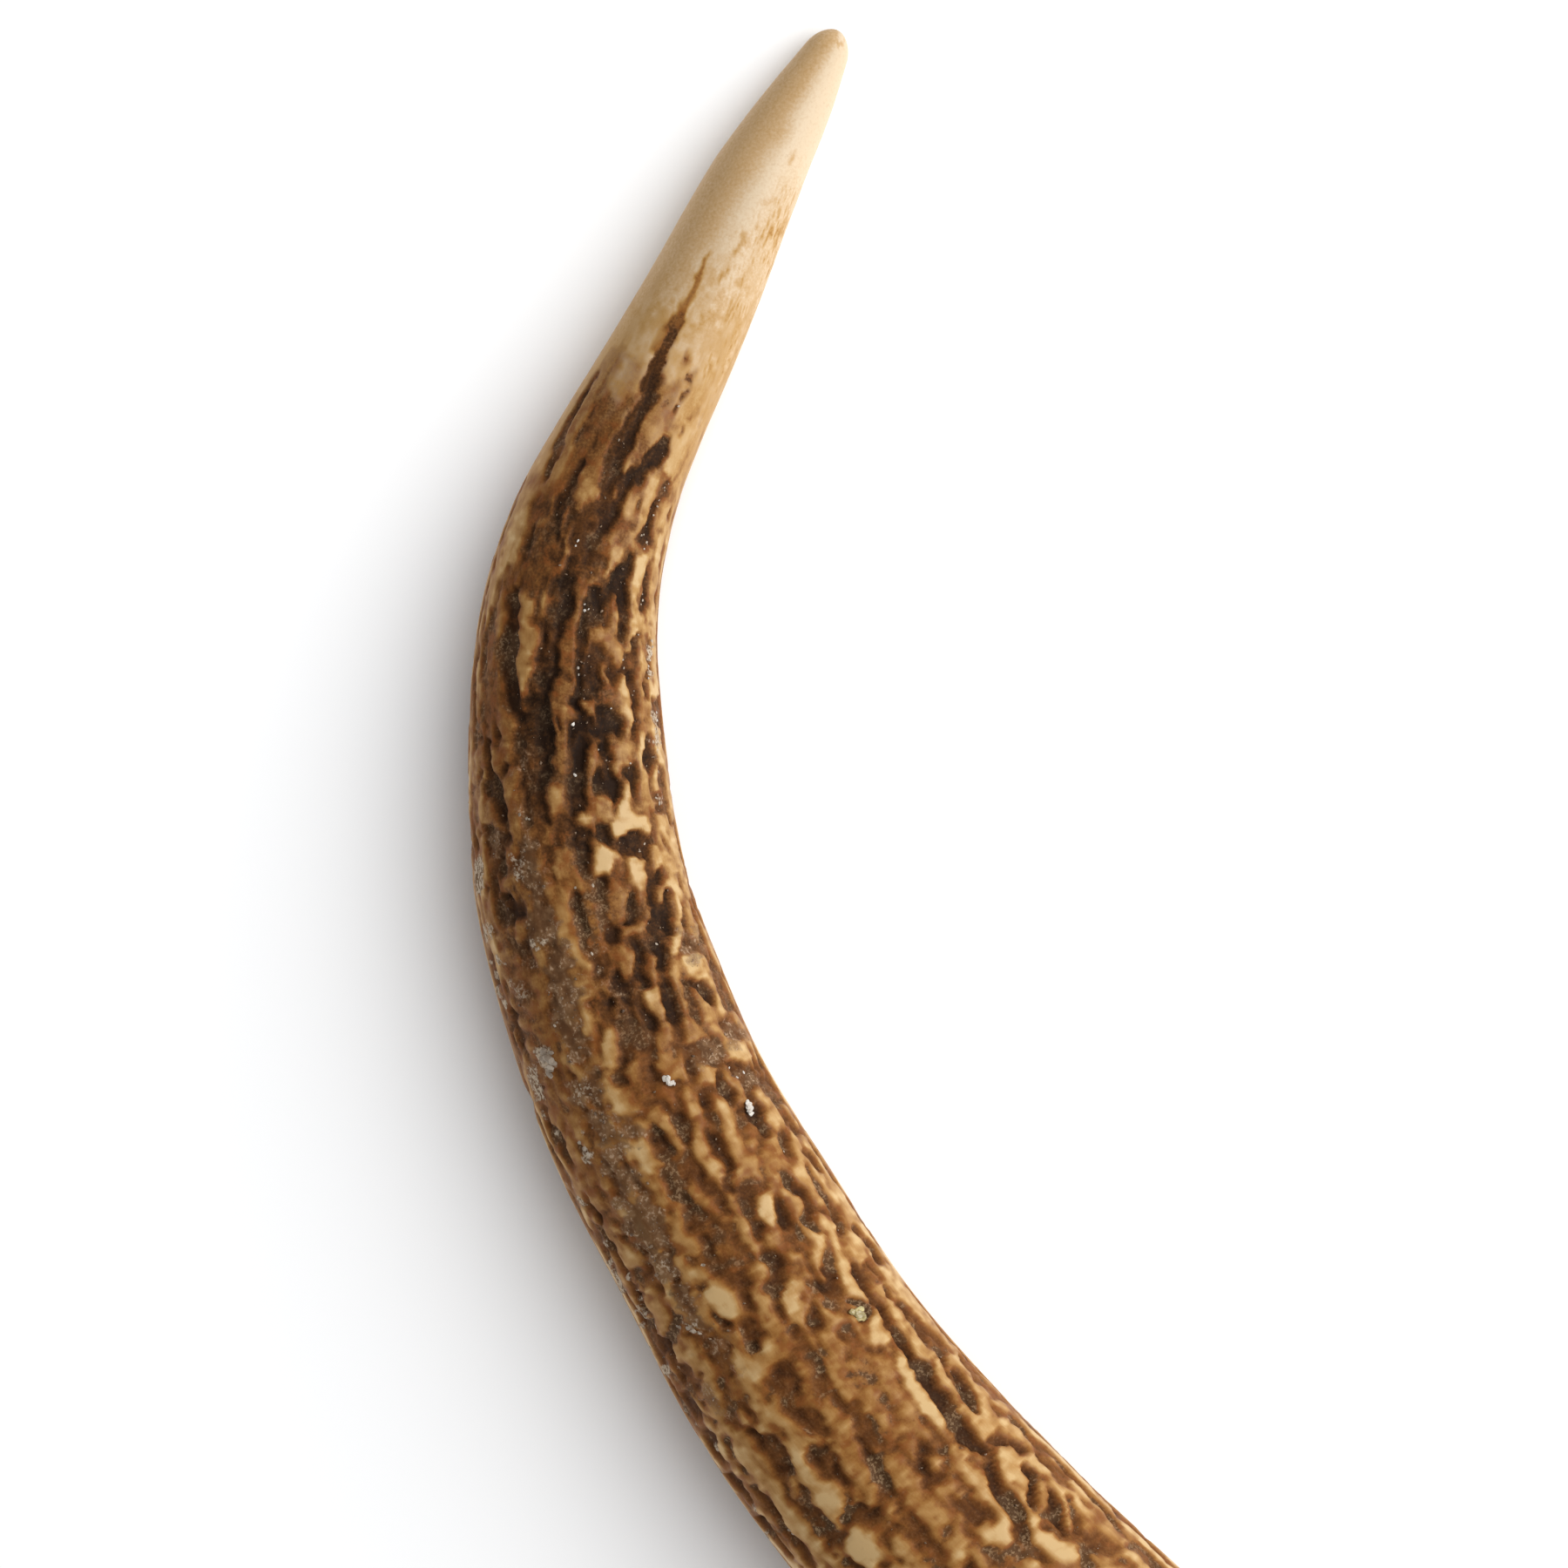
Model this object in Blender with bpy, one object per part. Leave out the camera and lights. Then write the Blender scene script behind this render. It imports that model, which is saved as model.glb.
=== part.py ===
"""The end tine of a deer antler, lying on its side.

One grown piece: a smooth ivory tip, a shaft whose skin is pearled and grooved, and a flat
sawn face at the thick end. Seen from above, +X is right and +Y runs up towards the tip.
Lengths are in millimetres here and become metres where the mesh is made.
"""

import math

import bpy
import numpy as np

MM = 0.001

# Driving dimensions. The centre line is seen from above, from the tip down to the saw cut.
CENTRE_LINE = (
    (0.7, 101.1), (-4.0, 92.3), (-8.5, 84.2), (-13.8, 73.0), (-19.2, 62.0), (-24.7, 51.1),
    (-29.0, 39.6), (-30.7, 27.5), (-30.4, 15.4), (-29.2, 3.5), (-25.1, -11.0), (-19.3, -25.2),
    (-11.7, -38.5), (-4.0, -51.5), (4.9, -63.3), (15.3, -75.1), (28.7, -89.7),
)

# Half the width across the bend: (distance from the tip, half width).
HALF_WIDTHS = (
    (0, 2.15), (3, 2.65), (8, 3.65), (12, 4.3), (20, 5.35), (28, 6.05), (40, 6.95), (48, 7.5),
    (56, 8.2), (64, 9.2), (72, 9.95), (84, 10.95), (100, 11.95), (120, 12.85), (136, 13.45),
    (152, 14.05), (168, 14.85), (184, 15.65), (200, 16.3), (216, 17.6),
)
TIP_ROUNDING = 3.0          # the last stretch of the tip rounds off over this length

# The height of the section as a share of its width, and how far its underside clears the
# ground: the tine touches near its tip, at its middle and at the saw cut.
FLATNESS = ((0, 0.98), (60, 0.95), (150, 0.94), (200, 0.90), (216, 0.87))
CLEARANCE = ((0, 0.4), (30, 0.8), (65, 1.2), (95, 0.8), (128, 0.0), (150, 0.2), (175, 0.5),
             (200, 0.2), (216, 0.0))

# The relief of the skin: how deep a groove lies under the ridge tops beside it.
GROOVE_DEPTH = ((0, 0.0), (28, 0.0), (42, 0.35), (60, 0.8), (90, 1.1), (216, 1.2))
RIDGES_ROUND = 20           # ridges counted round the shaft
RIDGE_LENGTH = 8.0          # usual length of one ridge
RIDGE_SEED = 3

RINGS_IN_TIP = 8
RINGS_IN_SHAFT = 58
TIP_END = 28.0              # where the smooth tip gives way to the grooved shaft
SIDES = 72

TONE_OF_RIDGE = 1.0
TONE_OF_GROOVE = 0.0
MARK_FADE = 0.9             # how softly a ridge or groove meets the skin beside it

# The grooves and ridges that stand out on the upper side: (width, then the points that the
# line runs through). A point is (distance from the tip, degrees round the shaft); 0 degrees
# faces up and positive degrees lie on the inside of the bend. The places are read by eye as
# if the tine were seen from straight above; MARK_SHIFT and MARK_TURN then move them, by
# (distance, millimetres) and (angle, degrees), to where they lie on the rounded skin.
MARK_SHIFT = ((0, 0), (30, 1.2), (80, 1.8), (100, 1.1), (120, 1.0), (165, 0.5), (190, 0), (215, -0.6))
MARK_TURN = ((-60, 0.0), (-30, 0.7), (0, 1.6), (35, 3.0), (60, 3.5))
GROOVES = (
    (2.2, (39, -8), (46, -3), (54, -1), (62, 2), (68, -5), (74, -13), (84, -14), (92, -16), (97, -20)),
    (2.6, (97, -21), (108, -25), (124, -27), (134, -29), (146, -33), (154, -34)),
    (1.6, (65, -44), (71, -42), (76, -41), (81, -37), (86, -27)),
    (1.0, (46, -62), (53, -57), (60, -51)),
    (1.0, (45, -45), (54, -39)),
    (2.0, (52, 20), (54, 30), (57, 19)),
    (1.4, (55, 48), (60, 44), (64, 44), (67, 33), (70, 33), (75, 35)),
    (1.7, (70, 10), (77, 12), (81, 8), (88, 6), (96, 4), (103, 3)),
    (2.2, (85, 12), (87, 28)),
    (2.0, (93, 17), (95, 23), (99, 17)),
    (1.3, (80, 43), (85, 47)),
    (2.0, (101, 28), (101, 43)),
    (1.4, (105, 9), (109, 9), (112, 13)),
    (1.4, (105, 41), (110, 34), (113, 37)),
    (1.6, (88, -54), (94, -47), (99, -50), (106, -44)),
    (1.3, (113, 20), (119, 17)),
    (1.2, (115, 3), (120, 7), (127, 7)),
    (1.7, (120, 51), (122, 50)),
    (1.5, (123, -4), (131, -6), (138, -7)),
    (1.2, (134, 6), (137, 4), (141, 1), (146, 2)),
    (1.2, (134, 23), (139, 20)),
    (1.5, (128, 30), (133, 35), (138, 38), (139, 47)),
    (1.3, (140, -13), (147, -10)),
    (1.2, (147, 29), (151, 27)),
    (1.3, (150, 54), (156, 50)),
    (1.5, (159, 48), (163, 45), (168, 46), (171, 43), (176, 42), (182, 37), (187, 34), (193, 29),
     (198, 25)),
    (1.6, (166, 61), (170, 60), (174, 61)),
    (1.8, (162, -36), (171, -35), (178, -38), (185, -39)),
    (1.5, (156, -58), (163, -58), (173, -57), (183, -57)),
    (1.5, (172, -70), (182, -70)),
    (1.5, (181, 52), (183, 49)),
    (1.8, (182, -18), (185, -16)),
    (1.5, (192, 48), (196, 38), (200, 38)),
)
RIDGES = (
    (2.0, (60, -12), (61, -10)),
    (1.8, (66, 46), (69, 42), (76, 44)),
    (2.0, (76, -28), (82, -25)),
    (2.4, (78, 0), (85, -2), (92, -3), (95, -8)),
    (1.6, (81, 35), (86, 42)),
    (1.7, (88, 49), (91, 45)),
    (2.4, (94, 33), (98, 30), (99, 44)),
    (2.5, (102, 14), (103, 13)),
    (1.8, (103, 32), (108, 28)),
    (1.5, (109, 41), (106, 50), (109, 57)),
    (1.8, (106, -9), (110, -13), (114, -10), (120, -15), (126, -12)),
    (2.2, (118, 44), (119, 55), (124, 56)),
    (1.8, (120, 19), (126, 16)),
    (2.2, (129, -18), (131, -11)),
    (2.1, (134, -16), (138, -16), (145, -17)),
    (1.8, (133, 15), (135, 16)),
    (2.0, (131, 29), (132, 30)),
    (2.5, (129, 50), (132, 62)),
    (1.8, (136, 29), (140, 23), (144, 19)),
    (1.5, (137, 8), (141, 8), (148, 8)),
    (2.4, (154, -18), (156, -17)),
    (2.0, (153, 34), (154, 35)),
    (1.7, (152, 45), (157, 45), (160, 38), (164, 42)),
    (2.2, (156, 16), (160, 9)),
    (2.1, (160, -22), (164, -21), (172, -22), (176, -27), (180, -26)),
    (2.3, (161, -46), (168, -46), (174, -50), (179, -47), (187, -45)),
    (1.9, (169, 33), (166, 41)),
    (2.2, (171, 35), (177, 34), (184, 29), (190, 24), (195, 16)),
    (1.9, (170, 48), (174, 52), (179, 46)),
    (1.6, (176, 67), (181, 60), (185, 48)),
    (3.0, (186, -31), (188, -28)),
    (2.0, (181, 6), (188, 3), (194, 0)),
    (2.2, (188, 46), (195, 35), (203, 29)),
    (1.7, (187, 64), (192, 55), (196, 56)),
)

SKIN_COLOUR = (0.29, 0.15, 0.06, 1.0)
SKIN_ROUGHNESS = 0.5


def read_curve(stations, distance):
    """The value at a distance from the tip, from (distance, value) stations."""
    where, value = np.array(stations, float).T
    return np.interp(distance, where, value)


def smooth_step(x, low, high):
    """0 below low, 1 above high, and an S curve between them."""
    t = np.clip((x - low) / (high - low), 0, 1)
    return t * t * (3 - 2 * t)


def natural_spline(knots, points):
    """A function of the knot parameter that runs smoothly through the points."""
    step = np.diff(knots)
    slope = np.diff(points, axis=0) / step[:, None]
    matrix = np.eye(len(knots))
    right = np.zeros_like(points)
    for i in range(1, len(knots) - 1):
        matrix[i, i - 1:i + 2] = step[i - 1], 2 * (step[i - 1] + step[i]), step[i]
        right[i] = 6 * (slope[i] - slope[i - 1])
    bend = np.linalg.solve(matrix, right)

    def at(t):
        i = np.clip(np.searchsorted(knots, t) - 1, 0, len(step) - 1)
        a, b = (knots[i + 1] - t)[:, None], (t - knots[i])[:, None]
        h = step[i][:, None]
        curve = (bend[i] * a ** 3 + bend[i + 1] * b ** 3) / (6 * h)
        straight = points[i] * a / h + points[i + 1] * b / h
        return curve + straight - (bend[i] * a + bend[i + 1] * b) * h / 6

    return at


def centre_line(distance):
    """(x, y) of the centre line, and its direction towards the base, at each distance."""
    points = np.array(CENTRE_LINE, float)
    knots = np.r_[0, np.cumsum(np.hypot(*np.diff(points, axis=0).T))]
    fine = natural_spline(knots, points)(np.linspace(0, knots[-1], 2000))
    along = np.r_[0, np.cumsum(np.hypot(*np.diff(fine, axis=0).T))]
    place = np.stack([np.interp(distance, along, fine[:, k]) for k in (0, 1)], 1)
    heading = np.gradient(fine, axis=0)
    direction = np.stack([np.interp(distance, along, heading[:, k]) for k in (0, 1)], 1)
    return place, direction / np.linalg.norm(direction, axis=1)[:, None], along[-1]


def half_width(distance):
    """Half the width of the shaft, rounded off to nothing at the very tip."""
    from_end = np.clip(1 - distance / TIP_ROUNDING, 0, 1)
    return read_curve(HALF_WIDTHS, distance) * np.sqrt(1 - from_end ** 2)


def skin_noise(distance, angle, wave_along, ridges_round, spread, seed):
    """Even, smooth noise over the skin that closes on itself round the shaft."""
    rows, columns = len(distance), len(angle)
    white = np.random.default_rng(seed).normal(size=(rows, columns))
    spectrum = np.fft.rfft2(white)
    along = np.fft.fftfreq(rows, distance[1] - distance[0])[:, None]
    around = np.arange(columns // 2 + 1)[None]
    spectrum *= np.exp(-0.5 * (along * wave_along) ** 2)
    spectrum *= np.exp(-0.5 * ((around - ridges_round) / spread) ** 2)
    noise = np.fft.irfft2(spectrum, s=(rows, columns))
    return noise / noise.std()


def settle(distance, angle):
    """A place read by eye, moved to where it lies on the skin."""
    return distance + read_curve(MARK_SHIFT, distance), angle + read_curve(MARK_TURN, angle)


def draw_mark(tone, distance, angle, mark, target):
    """Draws one ridge or groove into the tones, as a line of its width with soft edges."""
    width, points = mark[0], [settle(s, a) for s, a in mark[1:]]
    degree = half_width(distance)[:, None] * math.radians(1)
    nearest = np.full(tone.shape, 1e9)
    for (s0, a0), (s1, a1) in zip(points[:-1], points[1:]):
        down, across = distance[:, None] - s0, (angle[None] - a0) * degree
        run, turn = s1 - s0, (a1 - a0) * degree
        length_squared = np.maximum(run ** 2 + turn ** 2, 1e-9)
        share = np.clip((down * run + across * turn) / length_squared, 0, 1)
        nearest = np.minimum(nearest, np.hypot(down - share * run, across - share * turn))
    cover = 1 - smooth_step(nearest, 0.3 * width, 0.5 * width + MARK_FADE)
    return tone * (1 - cover) + target * cover


def skin_tone(length):
    """Distances, angles and, over them, 1 on the ridge tops and 0 in the grooves."""
    distance = np.linspace(0, length, int(length) + 1)
    angle = np.arange(-180, 180, 360 / (2 * SIDES))
    noise = skin_noise(distance, angle, RIDGE_LENGTH / 2, RIDGES_ROUND, 4, RIDGE_SEED)
    tone = 0.5 + 0.35 * np.tanh(noise)
    for mark in GROOVES:
        tone = draw_mark(tone, distance, angle, mark, TONE_OF_GROOVE)
    for mark in RIDGES:
        tone = draw_mark(tone, distance, angle, mark, TONE_OF_RIDGE)
    return distance, angle, tone


def axis_height(distance):
    """How high the centre line runs above the ground; the rounded tip does not lower it."""
    full_height = read_curve(HALF_WIDTHS, distance) * read_curve(FLATNESS, distance)
    return full_height + read_curve(CLEARANCE, distance)


def section(place, direction, width, height, axis, depth):
    """One ring of the shaft, its grooves cut inwards, as points in millimetres."""
    inward = np.array((-direction[1], direction[0]))
    ring = []
    for i, cut in enumerate(depth):
        turn = math.radians(-180 + i * 360 / SIDES)
        across = max(width - cut, 0) * math.sin(turn)
        up = max(height - cut, 0) * math.cos(turn)
        x, y = place + across * inward
        ring.append((x, y, axis + up))
    return ring


def ring_distances(length):
    """Where the rings lie: close together on the rounded tip, even along the shaft."""
    share = np.arange(1, RINGS_IN_TIP + 1) / RINGS_IN_TIP
    tip = TIP_END * share ** 2
    return np.r_[tip, np.linspace(TIP_END, length, RINGS_IN_SHAFT + 1)[1:]]


def make_skin():
    """The closed outer surface, from the tip's point to the sawn face."""
    length = centre_line(np.zeros(1))[2]
    distance, angle, tone = skin_tone(length)
    along = ring_distances(length)
    place, direction, _ = centre_line(along)
    width = half_width(along)
    height = width * read_curve(FLATNESS, along)
    axis = axis_height(along)
    depth = read_curve(GROOVE_DEPTH, along)
    rings = []
    for i, s in enumerate(along):
        row = np.array([np.interp(s, distance, tone[:, 2 * k]) for k in range(SIDES)])
        rings.append(section(place[i], direction[i], width[i], height[i], axis[i], depth[i] * (1 - row)))
    tip = (*CENTRE_LINE[0], float(axis_height(0)))
    return tip, rings


def build_mesh(tip, rings):
    """Joins the rings with four-sided faces, the tip with a fan, and caps the saw cut."""
    points = [tip] + [point for ring in rings for point in ring]
    lowest = min(z for _, _, z in points)
    vertices = [(x * MM, y * MM, (z - lowest) * MM) for x, y, z in points]
    faces = [(0, 1 + k, 1 + (k + 1) % SIDES) for k in range(SIDES)]
    for i in range(len(rings) - 1):
        upper, lower = 1 + i * SIDES, 1 + (i + 1) * SIDES
        for k in range(SIDES):
            after = (k + 1) % SIDES
            faces.append((upper + k, lower + k, lower + after, upper + after))
    last = 1 + (len(rings) - 1) * SIDES
    faces.append([last + k for k in reversed(range(SIDES))])
    mesh = bpy.data.meshes.new("antler")
    mesh.from_pydata(vertices, [], faces)
    mesh.update()
    return mesh


def skin_material():
    """Brown, slightly waxy antler."""
    material = bpy.data.materials.new("antler")
    material.use_nodes = True
    shader = material.node_tree.nodes["Principled BSDF"]
    shader.inputs["Base Color"].default_value = SKIN_COLOUR
    shader.inputs["Roughness"].default_value = SKIN_ROUGHNESS
    shader.inputs["Metallic"].default_value = 0.0
    return material


def main():
    for old in list(bpy.data.objects):
        bpy.data.objects.remove(old)
    tip, rings = make_skin()
    mesh = build_mesh(tip, rings)
    mesh.shade_smooth()
    mesh.set_sharp_from_angle(angle=math.radians(60))
    mesh.materials.append(skin_material())
    antler = bpy.data.objects.new("antler", mesh)
    bpy.context.scene.collection.objects.link(antler)


main()
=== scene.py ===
# %% [markdown]
# # A deer antler tine
# This lesson dresses one lying antler tine: a smooth ivory tip, a brown shaft whose skin is
# pearled and grooved, and a saw cut at the thick end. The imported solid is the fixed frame.
# It says where the tine lies and how large it is, and the detailed skin takes its place.

import math

import bpy
import numpy as np
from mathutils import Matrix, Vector


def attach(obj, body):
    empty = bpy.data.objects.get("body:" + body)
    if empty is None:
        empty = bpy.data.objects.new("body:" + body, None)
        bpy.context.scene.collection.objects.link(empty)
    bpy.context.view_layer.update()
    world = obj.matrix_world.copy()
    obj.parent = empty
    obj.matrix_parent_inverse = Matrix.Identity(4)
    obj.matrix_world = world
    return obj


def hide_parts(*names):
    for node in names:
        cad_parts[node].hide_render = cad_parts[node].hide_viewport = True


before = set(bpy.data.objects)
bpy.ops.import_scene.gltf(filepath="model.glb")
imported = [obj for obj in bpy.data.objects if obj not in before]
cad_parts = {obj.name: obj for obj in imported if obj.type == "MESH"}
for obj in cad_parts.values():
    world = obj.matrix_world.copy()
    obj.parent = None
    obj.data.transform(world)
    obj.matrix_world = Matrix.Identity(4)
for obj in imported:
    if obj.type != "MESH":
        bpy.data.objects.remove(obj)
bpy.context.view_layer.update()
MM = 0.001

# %% [markdown]
# ## The camera
# The tine is photographed from straight above, with the tip at the top of the picture. A
# long lens keeps the thick end from looking larger than it is. The camera looks down on a
# plane halfway up the tine, and its field there is 180 mm wide.

# %% Camera straight above
FIELD = 180 * MM
LENS = 180.0
SENSOR = 36.0
PICTURE_CENTRE = Vector((-5.6, 13.7, 12.0)) * MM

camera_data = bpy.data.cameras.new("camera")
camera_data.lens, camera_data.sensor_width = LENS, SENSOR
camera = bpy.data.objects.new("camera", camera_data)
bpy.context.scene.collection.objects.link(camera)
camera.location = PICTURE_CENTRE + Vector((0, 0, FIELD * LENS / SENSOR))
bpy.context.scene.camera = camera
print("camera height in mm:", round(camera.location.z / MM))

# %% [markdown]
# ## The form of the tine
# A tine is a bent, tapering rod. Its centre line is given by points seen from above, and a
# natural spline runs through them as a springy ruler would. The width, the height and the
# gap under the rod are read from short tables by the distance from the tip.

# %% The form in numbers
CENTRE_LINE = (
    (0.7, 101.1), (-4.0, 92.3), (-8.5, 84.2), (-13.8, 73.0), (-19.2, 62.0), (-24.7, 51.1),
    (-29.0, 39.6), (-30.7, 27.5), (-30.4, 15.4), (-29.2, 3.5), (-25.1, -11.0), (-19.3, -25.2),
    (-11.7, -38.5), (-4.0, -51.5), (4.9, -63.3), (15.3, -75.1), (28.7, -89.7),
)
HALF_WIDTHS = (
    (0, 2.15), (3, 2.65), (8, 3.65), (12, 4.3), (20, 5.35), (28, 6.05), (40, 6.95), (48, 7.5),
    (56, 8.2), (64, 9.2), (72, 9.95), (84, 10.95), (100, 11.95), (120, 12.85), (136, 13.45),
    (152, 14.05), (168, 14.85), (184, 15.65), (200, 16.3), (216, 17.6),
)
TIP_ROUNDING = 3.0
FLATNESS = ((0, 0.98), (60, 0.95), (150, 0.94), (200, 0.90), (216, 0.87))
CLEARANCE = ((0, 0.4), (30, 0.8), (65, 1.2), (95, 0.8), (128, 0.0), (150, 0.2), (175, 0.5),
             (200, 0.2), (216, 0.0))

# %% Reading the form
LINE_SAMPLES = 2000


def read_curve(stations, distance):
    """The value at a distance from the tip, from (distance, value) stations."""
    where, value = np.array(stations, float).T
    return np.interp(distance, where, value)


def smooth_step(x, low, high):
    """0 below low, 1 above high, and an S curve between them."""
    t = np.clip((x - low) / (high - low), 0, 1)
    return t * t * (3 - 2 * t)


def soft_band(x, edges):
    """1 between the inner two of four edges, falling to 0 at the outer two."""
    return smooth_step(x, *edges[:2]) * (1 - smooth_step(x, *edges[2:]))


def natural_spline(knots, points, t):
    """The smooth curve through the points, at the parameters t."""
    step = np.diff(knots)
    slope = np.diff(points, axis=0) / step[:, None]
    matrix, right = np.eye(len(knots)), np.zeros_like(points)
    for i in range(1, len(knots) - 1):
        matrix[i, i - 1:i + 2] = step[i - 1], 2 * (step[i - 1] + step[i]), step[i]
        right[i] = 6 * (slope[i] - slope[i - 1])
    bend = np.linalg.solve(matrix, right)
    i = np.clip(np.searchsorted(knots, t) - 1, 0, len(step) - 1)
    a, b, h = (knots[i + 1] - t)[:, None], (t - knots[i])[:, None], step[i][:, None]
    curve = (bend[i] * a ** 3 + bend[i + 1] * b ** 3) / (6 * h)
    chord = points[i] * a / h + points[i + 1] * b / h
    return curve + chord - (bend[i] * a + bend[i + 1] * b) * h / 6


knots = np.r_[0, np.cumsum(np.hypot(*np.diff(CENTRE_LINE, axis=0).T))]
LINE = natural_spline(knots, np.array(CENTRE_LINE), np.linspace(0, knots[-1], LINE_SAMPLES))
ALONG = np.r_[0, np.cumsum(np.hypot(*np.diff(LINE, axis=0).T))]
HEADING = np.gradient(LINE, axis=0)
HEADING /= np.linalg.norm(HEADING, axis=1)[:, None]
LENGTH = ALONG[-1]
print("length along the bend in mm:", round(LENGTH, 1))


# %% Where a ring of the rod sits
def line_at(distance):
    """(x, y) of the centre line and of its direction towards the base, in millimetres."""
    place = np.stack([np.interp(distance, ALONG, LINE[:, k]) for k in (0, 1)], -1)
    way = np.stack([np.interp(distance, ALONG, HEADING[:, k]) for k in (0, 1)], -1)
    return place, way / np.linalg.norm(way, axis=-1)[..., None]


def rounding_at(distance):
    """1 along the rod, falling to 0 at the very tip on a quarter of a circle."""
    return np.sqrt(1 - np.clip(1 - distance / TIP_ROUNDING, 0, 1) ** 2)


def radii_at(distance):
    """Half the width, half the height and the height of the centre line above the ground."""
    full = read_curve(HALF_WIDTHS, distance)
    flat = read_curve(FLATNESS, distance)
    axis_height = full * flat + read_curve(CLEARANCE, distance)
    return full * rounding_at(distance), full * rounding_at(distance) * flat, axis_height


def on_rod(distance, angle, share=1.0):
    """Points on the plain rod in millimetres. Angle 0 faces up and share 0 is the centre line."""
    place, way = line_at(distance)
    width, height, lift = radii_at(distance)
    right = np.stack([-way[..., 1], way[..., 0]], -1)
    across = share * width * np.sin(angle)
    up = share * height * np.cos(angle)
    return np.concatenate([place + right * across[..., None], (lift + up)[..., None]], -1)


print("half widths in mm at the tip, the bend and the cut:",
      [round(float(radii_at(d)[0]), 1) for d in (TIP_ROUNDING, LENGTH / 2, LENGTH)])

# %% [markdown]
# ## The blank
# The real tine grows as one rod, so the blank is one too. A disc is drawn at the saw cut and
# extruded ring by ring towards the tip: each step moves, turns and scales the new ring, as it
# would be done by hand. The rings stand closer where the skin is rough. Lofting a grid in
# code would be quicker, but the extruded blank keeps clean rings and a closed tip.

# %% Extrude the blank
SIDES = 30
RING_STRETCHES = ((44.0, 39), (20.0, 4))        # rings down to this distance, and how many
TIP_RINGS = (14.5, 9.8, 6.2, 3.6, 1.7, 0.5)


def deselect_everything():
    """Nothing stays selected, so that an operator acts on the new piece alone."""
    bpy.ops.object.select_all(action="DESELECT")


def ring_heading(distance):
    """How far a ring at this distance is turned about the upright axis."""
    _, way = line_at(distance)
    return math.atan2(way[1], way[0])


def ring_centre(distance):
    """The centre of the ring in metres."""
    place, _ = line_at(distance)
    return Vector((*place, float(radii_at(distance)[2]))) * MM


rings = [LENGTH]
for end, count in RING_STRETCHES:
    rings += list(np.linspace(rings[-1], end, count + 1)[1:])
rings += TIP_RINGS

deselect_everything()
bpy.ops.mesh.primitive_circle_add(vertices=SIDES, radius=float(radii_at(LENGTH)[0]) * MM,
                                  fill_type="NGON", rotation=(0, math.pi / 2, ring_heading(LENGTH)),
                                  location=ring_centre(LENGTH))
skin = bpy.context.active_object
skin.name = skin.data.name = "antler_skin"
bpy.ops.object.transform_apply(location=True, rotation=True, scale=True)
bpy.ops.object.mode_set(mode="EDIT")
bpy.ops.mesh.select_all(action="SELECT")
for before, after in zip(rings[:-1], rings[1:]):
    step = ring_centre(after) - ring_centre(before)
    bpy.ops.mesh.extrude_region_move(TRANSFORM_OT_translate={"value": step})
    turn = ring_heading(after) - ring_heading(before)
    bpy.ops.transform.rotate(value=-turn, orient_axis="Z", center_override=ring_centre(after))
    scale = float(radii_at(after)[0] / radii_at(before)[0])
    bpy.ops.transform.resize(value=(scale, scale, scale), center_override=ring_centre(after))
bpy.ops.mesh.select_all(action="SELECT")
bpy.ops.mesh.normals_make_consistent(inside=False)
bpy.ops.object.mode_set(mode="OBJECT")
print("rings:", len(rings), "faces of the blank:", len(skin.data.polygons))

# %% [markdown]
# ## The saw cut
# Where the tine was sawn from the antler its end is flat. The cut face is inset twice: a
# narrow first band keeps the edge crisp, and the second marks where the dense rim gives way
# to the spongy core. The edge of the cut is creased, so that subdivision leaves it sharp.

# %% Inset and crease the cut
CUT_BANDS = (0.5, 3.6)                          # widths of the two bands, in millimetres
CUT_FACING = 0.99


def faces_of_cut(mesh):
    """Selects the faces that look along the rod out of the saw cut, and returns how many."""
    _, way = line_at(LENGTH)
    outward = Vector((*way, 0))
    chosen = [face for face in mesh.polygons if face.normal.dot(outward) > CUT_FACING]
    for face in chosen:
        face.select = True
    return len(chosen)


def select_nothing_in(mesh):
    """Clears the selection of every vertex, edge and face of the mesh."""
    for part in (mesh.vertices, mesh.edges, mesh.polygons):
        part.foreach_set("select", [False] * len(part))


select_nothing_in(skin.data)
print("faces at the cut:", faces_of_cut(skin.data))
bpy.ops.object.mode_set(mode="EDIT")
bpy.ops.mesh.select_mode(type="FACE")
bpy.ops.mesh.region_to_loop()
bpy.ops.transform.edge_crease(value=1)
bpy.ops.object.mode_set(mode="OBJECT")
select_nothing_in(skin.data)
faces_of_cut(skin.data)
bpy.ops.object.mode_set(mode="EDIT")
bpy.ops.mesh.select_mode(type="FACE")
for band in CUT_BANDS:
    bpy.ops.mesh.inset(thickness=band * MM, use_even_offset=False)
bpy.ops.object.mode_set(mode="OBJECT")
print("faces with the cut inset:", len(skin.data.polygons))

# %% [markdown]
# ## Coordinates that follow the rod
# Ridges run along the bend, so the skin needs its own coordinates: the distance from the tip,
# and the place within the ring. Each point of the blank is given both as attributes. The
# Subdivision Surface blends attributes as it blends positions, so every new point knows
# where on the rod it belongs, and the exact form can be worked out for it afterwards.

# %% Give each point its place on the rod
SUBDIVISIONS = 3


def points_of(mesh):
    """The vertices of a mesh in millimetres, as an array."""
    flat = np.empty(len(mesh.vertices) * 3)
    mesh.vertices.foreach_get("co", flat)
    return flat.reshape(-1, 3) / MM


def keep_attribute(mesh, name, values):
    """Stores one number, or one vector, for each vertex."""
    kind, field = ("FLOAT", "value") if values.ndim == 1 else ("FLOAT_VECTOR", "vector")
    attribute = mesh.attributes.get(name) or mesh.attributes.new(name, kind, "POINT")
    attribute.data.foreach_set(field, values.astype(np.float32).ravel())


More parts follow.
